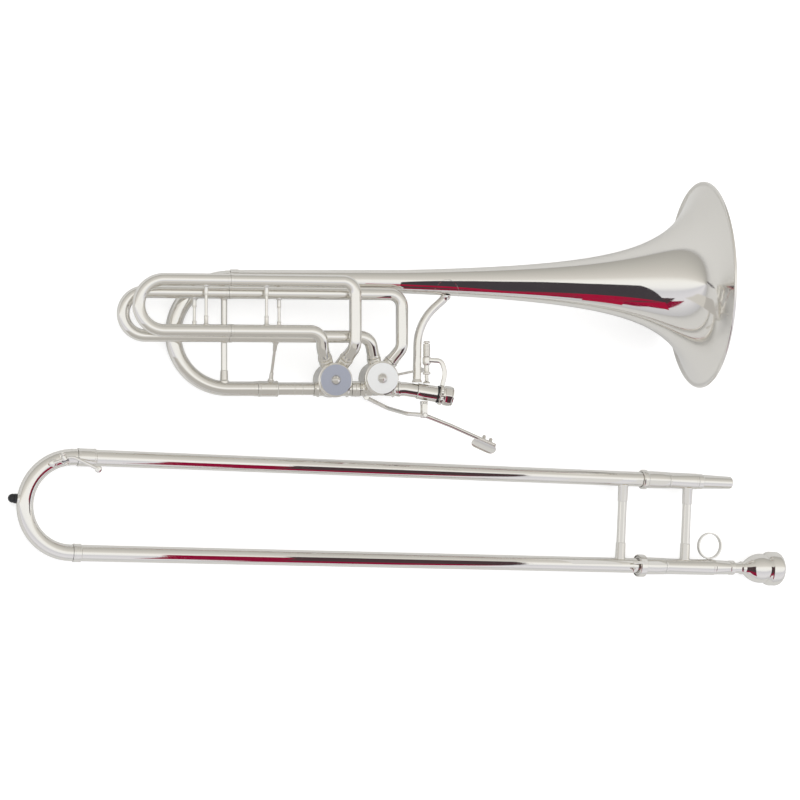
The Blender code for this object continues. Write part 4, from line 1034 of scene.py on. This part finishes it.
tenon_outline = [
    (376.3, 6.2), (376.3, 8.6), (376.8, 8.9), (382.4, 8.85), (382.9, 8.5), (383.4, 8.3), (420.6, 7.35),
    (421.5, 7.2), (422.0, 6.8), (422.0, 6.1), (421.4, 6.0), (406.0, 6.0),
]
turned("tenon", tenon_outline, UPPER, X_AXIS, 48, SLIDE, "root", ["slide_tenon"])
socket_outline = [
    (404.3, 6.6), (404.3, 8.3), (404.8, 8.7), (424.0, 8.1), (424.3, 7.9), (424.8, 8.4), (425.4, 8.65),
    (426.6, 8.65), (427.2, 8.35), (427.8, 8.35), (428.4, 8.6), (430.2, 8.6), (430.8, 8.3), (431.0, 7.8),
    (431.0, 6.9),
]
turned("mouthpiece_socket", socket_outline, LOWER, X_AXIS, 48, SLIDE, "root", ["mouthpiece_receiver"])

# %% [markdown]
# ## Slide braces and finger ring
# The player holds the slide by two braces, each a stout tube between two long feet. The ring for the little
# finger stands beside the inner brace: a flat band bent round and soldered to the ferrule.

# %% Slide braces and finger ring
brace_half = [
    (0, 0), (0, 6.3), (1.7, 6.15), (2.6, 5.85), (18.6, 5.75), (19.2, 5.6), (19.6, 5.2), (40.0, 5.15),
]
for name, x, tube_radius, body, node in (
    ("inner_brace", 364.5, 9.4, "root", "inner_slide_brace"),
    ("outer_brace", 279.0, 8.7, "outer_slide", "outer_slide_brace"),
):
    half_span = HALF_SPACING - tube_radius + 1.4
    turned(name, both_ends(brace_half, 2 * half_span), (x, half_span, 0), -Y_AXIS, 36, SLIDE, body, [node])

RING_X, RING_RADIUS, FERRULE_TOP = 397.5, 15.9, -HALF_SPACING + 9.4
finger = bmesh.new()
band_outline = eased([(-2.6, 14.2), (-2.6, 15.8), (2.6, 15.8), (2.6, 14.2), (-2.6, 14.2)], 0.45)
spun(finger, band_outline[:-1], (RING_X, FERRULE_TOP + 0.3 + RING_RADIUS, 0), Z_AXIS, 72)
spun(finger, capped([(0, 3.6), (0.8, 3.3), (1.6, 2.4)], 0.3), (RING_X, FERRULE_TOP - 0.3, 0), Y_AXIS, 24)
finish("finger_ring_band", finger, SLIDE, "root", ["finger_ring"])

# %% [markdown]
# ## The mouthpiece
# A trombone mouthpiece is turned from one brass bar: a tapered shank, a narrow neck with a bead, a full round
# cup and a thick rim. Its curves are smooth, so its outline is given by close points and needs no easing.

# %% The mouthpiece
cup_outside = [
    (405.0, 5.4), (438.0, 6.4), (439.6, 6.7), (440.2, 7.3), (441.4, 7.9), (442.8, 7.7), (443.4, 7.2), (444.6, 7.3),
    (446.5, 8.3), (449.0, 10.3), (452.0, 12.5), (455.0, 14.3), (458.5, 15.9), (462.5, 17.0), (466.5, 17.6),
    (470.0, 17.5), (472.6, 17.0), (473.8, 16.8), (475.0, 17.4), (476.2, 18.9), (477.6, 20.0), (479.4, 20.5),
    (487.4, 20.5), (489.6, 20.2), (491.6, 19.3), (493.0, 18.0), (493.8, 16.8), (494.0, 15.8), (493.6, 14.9),
]
cup_inside = [
    (492.4, 14.2), (490.0, 13.7), (484.0, 13.4), (479.0, 13.0), (474.5, 12.1), (470.5, 10.7), (467.0, 8.9),
    (464.0, 6.8), (461.6, 4.9), (460.0, 3.9), (458.0, 3.6), (452.0, 3.65), (405.4, 4.5),
]
turned("mouthpiece_body", cup_outside + cup_inside, LOWER, X_AXIS, 80, SLIDE, "mouthpiece", ["mouthpiece"])

# %% [markdown]
# ## The outer slide's tubes
# The outer slide is the part that moves: two long tubes, a bow with a rubber bumper, and the outer brace. The
# bands where the tubes meet the bow carry a fine bead. A small post on the lower tube catches the slide lock.

# %% The outer slide's tubes
SLIDE_RADIUS, TUBE_END, POST_X = 8.7, 311.0, 293.0
post_way = Vector((0, math.cos(math.radians(115)), math.sin(math.radians(115))))
post_stem = eased([(-0.6, 2.8), (0.6, 2.6), (1.1, 1.5), (3.0, 1.5), (3.3, 2.1), (4.5, 2.1)], 0.25)
for side, at, band_end in (("upper", UPPER, -350.0), ("lower", LOWER, -361.0)):
    tube = bmesh.new()
    outline = [
        (-369.7, 7.9), (-369.7, 9.6), (-369.2, 9.9), (-368.0, 9.9), (-367.6, 9.6), (band_end - 2.2, 9.6),
        (band_end - 1.8, 9.9), (band_end - 0.6, 9.85), (band_end, 9.3), (band_end + 0.4, 8.75),
        (TUBE_END - 6.4, 8.7), (TUBE_END - 6.2, 8.95), (TUBE_END - 0.4, 8.95), (TUBE_END, 8.7), (TUBE_END, 7.9),
    ]
    spun(tube, outline, at)
    if side == "lower":
        post_at = Vector((POST_X, -HALF_SPACING, 0)) + post_way * SLIDE_RADIUS
        spun(tube, [(-0.6, 0), *post_stem, (4.8, 1.4), (4.8, 0)], post_at, post_way, 24)
    finish(f"outer_tube_{side}", tube, SLIDE, "outer_slide", [f"outer_slide_{side}_tube"])

# %% [markdown]
# ## The slide's bow and bumper
# The bow is one half turn between the tubes. The drain's nipple stands on it, and a turned seat holds the
# rubber bumper, which takes the knock when the slide is set down.

# %% The slide's bow and bumper
DRAIN = math.radians(120)
BOW_CENTRE = Vector((SLIDE_BOW_X - 2.0, 0, 0))
BUMPER_WAY = Vector((-1, 0.08, 0)).normalized()


def round_bow(angle, height):
    """A point above the slide bow's centreline, at this angle round it."""
    return BOW_CENTRE + Vector((HALF_SPACING * math.cos(angle), HALF_SPACING * math.sin(angle), height))


NIPPLE = round_bow(DRAIN, 0)
slide_bow = bmesh.new()
corner_x = BOW_CENTRE.x - HALF_SPACING
half_way = [(SLIDE_BOW_X, HALF_SPACING, 0), (corner_x, HALF_SPACING, 0)]
bent(slide_bow, half_way + [(x, -y, z) for x, y, z in reversed(half_way)], 8.8, HALF_SPACING, sides=40)
nipple_outside = eased([(5.0, 4.2), (9.0, 3.9), (9.6, 3.0), (11.6, 3.0), (11.6, 1.4)], 0.3)
spun(slide_bow, [(5.0, 0), *nipple_outside, (8.0, 1.4), (8.0, 0)], NIPPLE, Z_AXIS, 28)
seat = BOW_CENTRE + BUMPER_WAY * (HALF_SPACING + 8.8)
seat_outline = [(-2.0, 0), *eased([(-2.0, 6.4), (-0.4, 6.0), (0.2, 5.4)], 0.3), (0.25, 0)]
spun(slide_bow, seat_outline, seat, BUMPER_WAY, 32)
finish("slide_bow", slide_bow, SLIDE, "outer_slide", ["outer_slide_crook"])
bumper_outline = [
    (0.3, 0), (0.3, 4.9), (0.7, 5.2), (3.0, 5.1), (3.4, 4.6), (3.9, 4.6), (4.3, 4.9), (6.2, 4.5), (7.7, 3.7),
    (8.8, 2.5), (9.4, 1.2), (9.6, 0),
]
turned(
    "rubber_bumper", bumper_outline, seat, BUMPER_WAY, 40,
    SLIDE, "outer_slide", ["crook_bumper"], rubber, "black_rubber",
)

# %% [markdown]
# ## The slide lock
# A ring round the lower cork barrel turns by hand, and its hook catches the post, so that the outer slide
# can't fall off when the instrument is carried. The ring is turned, and a small eased block is the hook.

# %% The slide lock
lock = bmesh.new()
lock_outline = eased([
    (301.8, 12.0), (301.8, 12.9), (302.4, 13.2), (309.6, 13.2), (310.4, 12.9), (310.4, 12.0),
], 0.3)
spun(lock, lock_outline, LOWER, steps=72)
hook_angle = math.radians(70)
hook_way = Vector((0, math.cos(hook_angle), math.sin(hook_angle)))
hook_turn = Matrix.Rotation(hook_angle - math.radians(90), 4, "X")
block(lock, (15.0, 3.6, 2.2), Vector((298.0, -HALF_SPACING, 0)) + hook_way * 12.9, hook_turn, 0.7, 3)
finish("slide_lock", lock, SLIDE, "lock_ring", ["slide_lock_ring"])

# %% [markdown]
# ## The water key
# Breath condenses in the slide, and this small lever lets the water out. It rocks on a saddle on the bow. A
# spring holds its cork pad on the drain's nipple until the thumb presses the other end.

# %% The water key's saddle
HINGE = round_bow(math.radians(106), 16.0)
KEY_WAY = Vector((HINGE.x - NIPPLE.x, HINGE.y - NIPPLE.y, 0)).normalized()
PIN_WAY = Vector((-KEY_WAY.y, KEY_WAY.x, 0))
key_turn = Matrix.Rotation(math.atan2(KEY_WAY.y, KEY_WAY.x), 4, "Z")

key_saddle = bmesh.new()
block(key_saddle, (6.0, 12.0, 2.6), (HINGE.x, HINGE.y, 9.6), key_turn, 0.5)
for side in (-1, 1):
    block(key_saddle, (5.0, 1.8, 9.6), HINGE + PIN_WAY * side * 5.0 - Z_AXIS * 2.2, key_turn, 0.6, 3)
spun(key_saddle, rod(1.2, -7.4, 7.4, 0.3), HINGE, PIN_WAY, 20)
for side in (-1, 1):
    spun(key_saddle, rod(1.9, 6.0, 7.5, 0.3), HINGE, PIN_WAY * side, 20)
finish("water_key_saddle_piece", key_saddle, SLIDE, "outer_slide", ["water_key_saddle"])

# %% [markdown]
# ## The water key's lever
# The lever is a thin bar bent over the hinge, with a turned cup for the cork at one end and a button for the
# thumb at the other. The coil lies round the hinge pin.

# %% The water key's lever
ON_NIPPLE = (NIPPLE.x, NIPPLE.y, 0)
key = bmesh.new()
key_tail = HINGE + Vector((36.0, -9.5, 1.5))
key_path = [Vector((NIPPLE.x, NIPPLE.y, 14.8)), HINGE + KEY_WAY * 8.0 + Z_AXIS * 0.6, key_tail]
bent(key, key_path, 1.8, 12.0, sides=20)
spun(key, sleeve(1.4, 3.0, -3.7, 3.7, 0.4), HINGE, PIN_WAY, 28)
pad_cup = [(12.9, 0), *eased([(12.9, 4.4), (14.4, 4.4), (15.4, 3.4), (15.9, 1.6)], 0.4), (16.0, 0)]
spun(key, pad_cup, ON_NIPPLE, Z_AXIS, 32)
button = capped([(-1.1, 3.3), (-0.4, 4.0), (0.6, 3.7), (1.1, 2.4)], 0.4)
spun(key, button, key_tail + Z_AXIS * 0.4, Z_AXIS, 32)
finish("water_key_piece", key, SLIDE, "water_key", ["water_key_lever"])
turned("water_key_cork", rod(3.9, 11.9, 13.3, 0.5), ON_NIPPLE, Z_AXIS, 32, SLIDE, "water_key", [], cork)
key_spring = bmesh.new()
coil(key_spring, HINGE + PIN_WAY * -3.2, PIN_WAY, 3.5, 0.3, 0.75, 2.25)
finish("water_key_spring", key_spring, SLIDE, "outer_slide", [], spring_steel)

# %% [markdown]
# ## The table
# The table is a plain pale sheet. The camera sees it pure white where nothing shades it, through Light Path,
# and it keeps the instrument's soft shadow. Silver sees it a little brighter than its own grey, by a small glow.

# %% Floor
FLOOR_HALF, FLOOR_Z = 6.0, -0.0004
GLOW_IN_SILVER, GLOW_IN_VIEW = 0.12, 0.66
floor_shape = bmesh.new()
floor_place = Matrix.Translation((0, 0, FLOOR_Z))
bmesh.ops.create_grid(floor_shape, x_segments=1, y_segments=1, size=FLOOR_HALF, matrix=floor_place)
floor = as_object("floor", floor_shape)
floor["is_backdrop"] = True

sheet, tree = new_material("pale_table")
paint = add_node(tree, "ShaderNodeBsdfDiffuse", Color=linear("#B9B9B8"))
seen = add_node(tree, "ShaderNodeLightPath").outputs
reflected = add_node(
    tree, "ShaderNodeMath", {"operation": "MAXIMUM"}, _0=seen["Is Glossy Ray"], _1=seen["Is Transmission Ray"]
)
in_silver = add_node(
    tree, "ShaderNodeMath", {"operation": "MULTIPLY_ADD"}, _0=reflected.outputs[0], _1=GLOW_IN_SILVER, _2=0.0
)
glow_level = add_node(
    tree, "ShaderNodeMath", {"operation": "MULTIPLY_ADD"}, _0=seen["Is Camera Ray"], _1=GLOW_IN_VIEW,
    _2=in_silver.outputs[0],
)
glow = add_node(tree, "ShaderNodeEmission", Color=linear("#FFFFFF"), Strength=glow_level.outputs[0])
lit = add_node(tree, "ShaderNodeAddShader", _0=paint.outputs[0], _1=glow.outputs[0])
add_node(tree, "ShaderNodeOutputMaterial", Surface=lit.outputs[0])
floor.data.materials.append(sheet)
print("floor is", 2 * FLOOR_HALF, "m across")

# %% [markdown]
# ## The room that the silver reflects
# Polished silver has no colour of its own to speak of: it shows what stands round it. So the room is built as
# a photographer would build it. The world is a ramp of pale greys by the angle round the instrument's length:
# darkest at the horizon on the bell's side, and brightest overhead. The camera itself sees white.

# %% The room that the silver reflects
world = bpy.data.worlds.new("studio")
bpy.context.scene.world = world
world.use_nodes = True
tree = world.node_tree
tree.nodes.clear()
seen = add_node(tree, "ShaderNodeLightPath")
ray = add_node(tree, "ShaderNodeTexCoord").outputs["Generated"]
way = add_node(tree, "ShaderNodeSeparateXYZ", Vector=ray)
toward = add_node(tree, "ShaderNodeMath", {"operation": "MULTIPLY"}, _0=way.outputs["Y"], _1=-1.0)
angle = add_node(tree, "ShaderNodeMath", {"operation": "ARCTAN2"}, _0=toward.outputs[0], _1=way.outputs["Z"])
share = add_node(
    tree, "ShaderNodeMath", {"operation": "MULTIPLY_ADD"}, _0=angle.outputs[0], _1=1 / math.tau, _2=0.5
)
ramp = add_node(tree, "ShaderNodeValToRGB", Fac=share.outputs[0])
ROOM = [
    (-90, "#B0AEAA"), (-65, "#C2C0BB"), (-40, "#D2CFCA"), (-22, "#DFDCD7"), (-9, "#FBFAF7"), (2, "#FDFDFC"),
    (14, "#F8F8F8"), (26, "#DADAE0"), (45, "#E4E3E9"), (62, "#E9E8EC"), (90, "#C8C8CC"),
]
for i, (degrees, colour) in enumerate(ROOM):
    place = degrees / 360 + 0.5
    stop = ramp.color_ramp.elements[i] if i < 2 else ramp.color_ramp.elements.new(place)
    stop.position, stop.color = place, linear(colour)
white = add_node(tree, "ShaderNodeBackground", Color=linear("#FFFFFF"))
room = add_node(tree, "ShaderNodeBackground", Color=ramp.outputs[0])
picked = add_node(
    tree, "ShaderNodeMixShader", Fac=seen.outputs["Is Camera Ray"], _1=room.outputs[0], _2=white.outputs[0]
)
add_node(tree, "ShaderNodeOutputWorld", Surface=picked.outputs[0])
print("the room's ramp has", len(ramp.color_ramp.elements), "greys")

# %% [markdown]
# ## Studio cards
# A photographer hangs dark and coloured cards over silver, so that it doesn't look blank. These cards are flat
# and glow plainly, only reflections see them, and only from the front. Dark cards with a red card beside each
# hang over the bell and the slide, and paler ones stand behind the loops and hang over the slide's braces.


# %% Studio cards
def card(name, colour, facing, corners, section=Matrix.Scale(MM, 4)):
    """A flat card that only reflections see, and only from its front. Its corners are in millimetres."""
    shape = bmesh.new()
    points = [bmesh.ops.create_vert(shape, co=section @ Vector(c))["vert"][0] for c in corners]
    face = bmesh.ops.contextual_create(shape, geom=points)["faces"][0]
    face.normal_update()
    if face.normal.dot(facing) < 0:
        bmesh.ops.reverse_faces(shape, faces=[face])
    made = as_object(name, shape)
    paper, tree = new_material(name)
    behind = add_node(tree, "ShaderNodeNewGeometry").outputs["Backfacing"]
    front = add_node(tree, "ShaderNodeEmission", Color=linear(colour), Strength=1.0)
    back = add_node(tree, "ShaderNodeBsdfTransparent")
    sided = add_node(tree, "ShaderNodeMixShader", Fac=behind, _1=front.outputs[0], _2=back.outputs[0])
    add_node(tree, "ShaderNodeOutputMaterial", Surface=sided.outputs[0])
    made.data.materials.append(paper)
    made.visible_camera = made.visible_diffuse = made.visible_shadow = made.visible_transmission = False
    made.visible_volume_scatter = False
    made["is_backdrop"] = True


def leaning(over, slope, points):
    """Corners of a card that leans over the bell, from its height over the bell's axis and (x, y) points."""
    return [(x, y, over + slope * y) for x, y in points]


def level(x0, x1, y0, y1, z):
    """Corners of a card that lies level."""
    return [(x0, y0, z), (x1, y0, z), (x1, y1, z), (x0, y1, z)]


def upright(x0, x1, y, z0, z1):
    """Corners of a card that stands upright along x."""
    return [(x0, y, z0), (x1, y, z0), (x1, y, z1), (x0, y, z1)]


print("cards can lean over the bell, lie level or stand upright")

# %% [markdown]
# ## Where the cards hang
# Two cards lean over the bell's flare, with corners rounded off, and two steeper ones stand between
# its stem and the hand brace. All four are drawn in the bell's frame and close to it, so that little else
# shows them. The rest hang level over the slide or stand upright behind the loops.

# %% The cards
DARK, RED, DARK_RED = "#433E43", "#A8183C", "#8E1238"
OVER_FLARE, OVER_STEM = Vector((0, 1.2, -1)), Vector((0, 3, -1))
edge = [(-235, -52), (-144, -55), (-104, -50), (-68, -36)]
dark_flare = leaning(100, 1.2, [(-235, 10), (-188, 6), (-148, -4), (-100, -10), *reversed(edge)])
red_flare = leaning(100, 1.2, [*edge, (-60, -43), (-104, -59), (-144, -65), (-235, -62)])
dark_stem = leaning(57, 3, [(-350, -11.6), (-346, -5), (-300, 8), (-265, 10), (-235, 6), (-235, -13.3)])
red_stem = leaning(57, 3, [(-388, -10), (-235, -13.3), (-235, -14.3), (-388, -12)])
card("dark_card_by_flare", DARK, OVER_FLARE, dark_flare, BELL)
card("red_card_by_flare", RED, OVER_FLARE, red_flare, BELL)
card("dark_card_by_stem", DARK, OVER_STEM, dark_stem, BELL)
card("red_card_by_stem", RED, OVER_STEM, red_stem, BELL)
card("dark_card_by_slide", "#4A3A3E", -Z_AXIS, level(-60, 262, -88, -464, 343))
card("red_card_by_slide", DARK_RED, -Z_AXIS, level(-60, 262, -464, -1100, 343))
card("red_end_by_slide", DARK_RED, -Z_AXIS, level(-226, -60, -160, -700, 343))
card("pale_card_by_loops", "#D4D1CC", Y_AXIS, upright(-460, -60, -38, 150, 290))
card("grey_card_by_loops", "#BAB7B3", Y_AXIS, upright(-460, -60, -38, 30, 150))
for x in (253, 338):
    card(f"pale_card_by_brace_{x}", "#E2E1E0", -Z_AXIS, level(x - 56, x + 10, -110, -200, 52))
print("cards: dark and red by the bell and the slide, pale by the loops and the braces")

# %% [markdown]
# ## Lamps
# Two large soft lamps light what isn't mirror bright, and cast the soft shadow. Reflections don't see them,
# because the room above already gives the silver its highlights.


# %% Lamps
def lamp(name, place, size, power):
    """A square area lamp that points at the middle of the table."""
    data = bpy.data.lights.new(name, "AREA")
    data.shape, data.size, data.energy = "SQUARE", size, power
    made = in_scene(name, data)
    made.location = place
    made.rotation_euler = Vector(place).to_track_quat("Z", "Y").to_euler()
    made.visible_glossy = False


lamp("key_lamp", (-0.9, 1.1, 2.2), 1.6, 26.0)
lamp("fill_lamp", (1.3, -0.9, 2.0), 2.0, 16.0)
print("two soft lamps")

# %% [markdown]
# ## The camera
# The camera looks down on the table from the left, 21 degrees off the vertical, with a long lens. Its three
# axes are given at once, as the columns of a matrix, which also settles how it rolls.

# %% Camera
DISTANCE, TILT = 2.260, math.radians(21.0)
TARGET = Vector((-0.02568, -0.01176, 0.015))
right = Vector((math.cos(TILT), 0, math.sin(TILT)))
back = Vector((-math.sin(TILT), 0, math.cos(TILT)))
camera_data = bpy.data.cameras.new("photo_camera")
camera_data.sensor_width, camera_data.lens, camera_data.clip_end = 36.0, 90.0, 60.0
camera = in_scene("photo_camera", camera_data)
axes = Matrix((right, Y_AXIS, back)).transposed().to_4x4()
camera.matrix_world = Matrix.Translation(TARGET + back * DISTANCE) @ axes
bpy.context.scene.camera = camera
bpy.context.scene.view_settings.view_transform = "Standard"
print("camera stands", DISTANCE, "m away,", round(math.degrees(TILT)), "degrees off the vertical")

# %% [markdown]
# ## Sizes and the end
# The finished instrument has to keep the size of its solids. How far each corner of the box has moved is
# printed for a look.

# %% Sizes and finish
shown_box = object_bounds()
for end, shown, solid in zip(("lowest", "highest"), shown_box, cad_box):
    print(end, "corner moved by mm:", [round((a - b) * 1000, 2) for a, b in zip(shown, solid)])
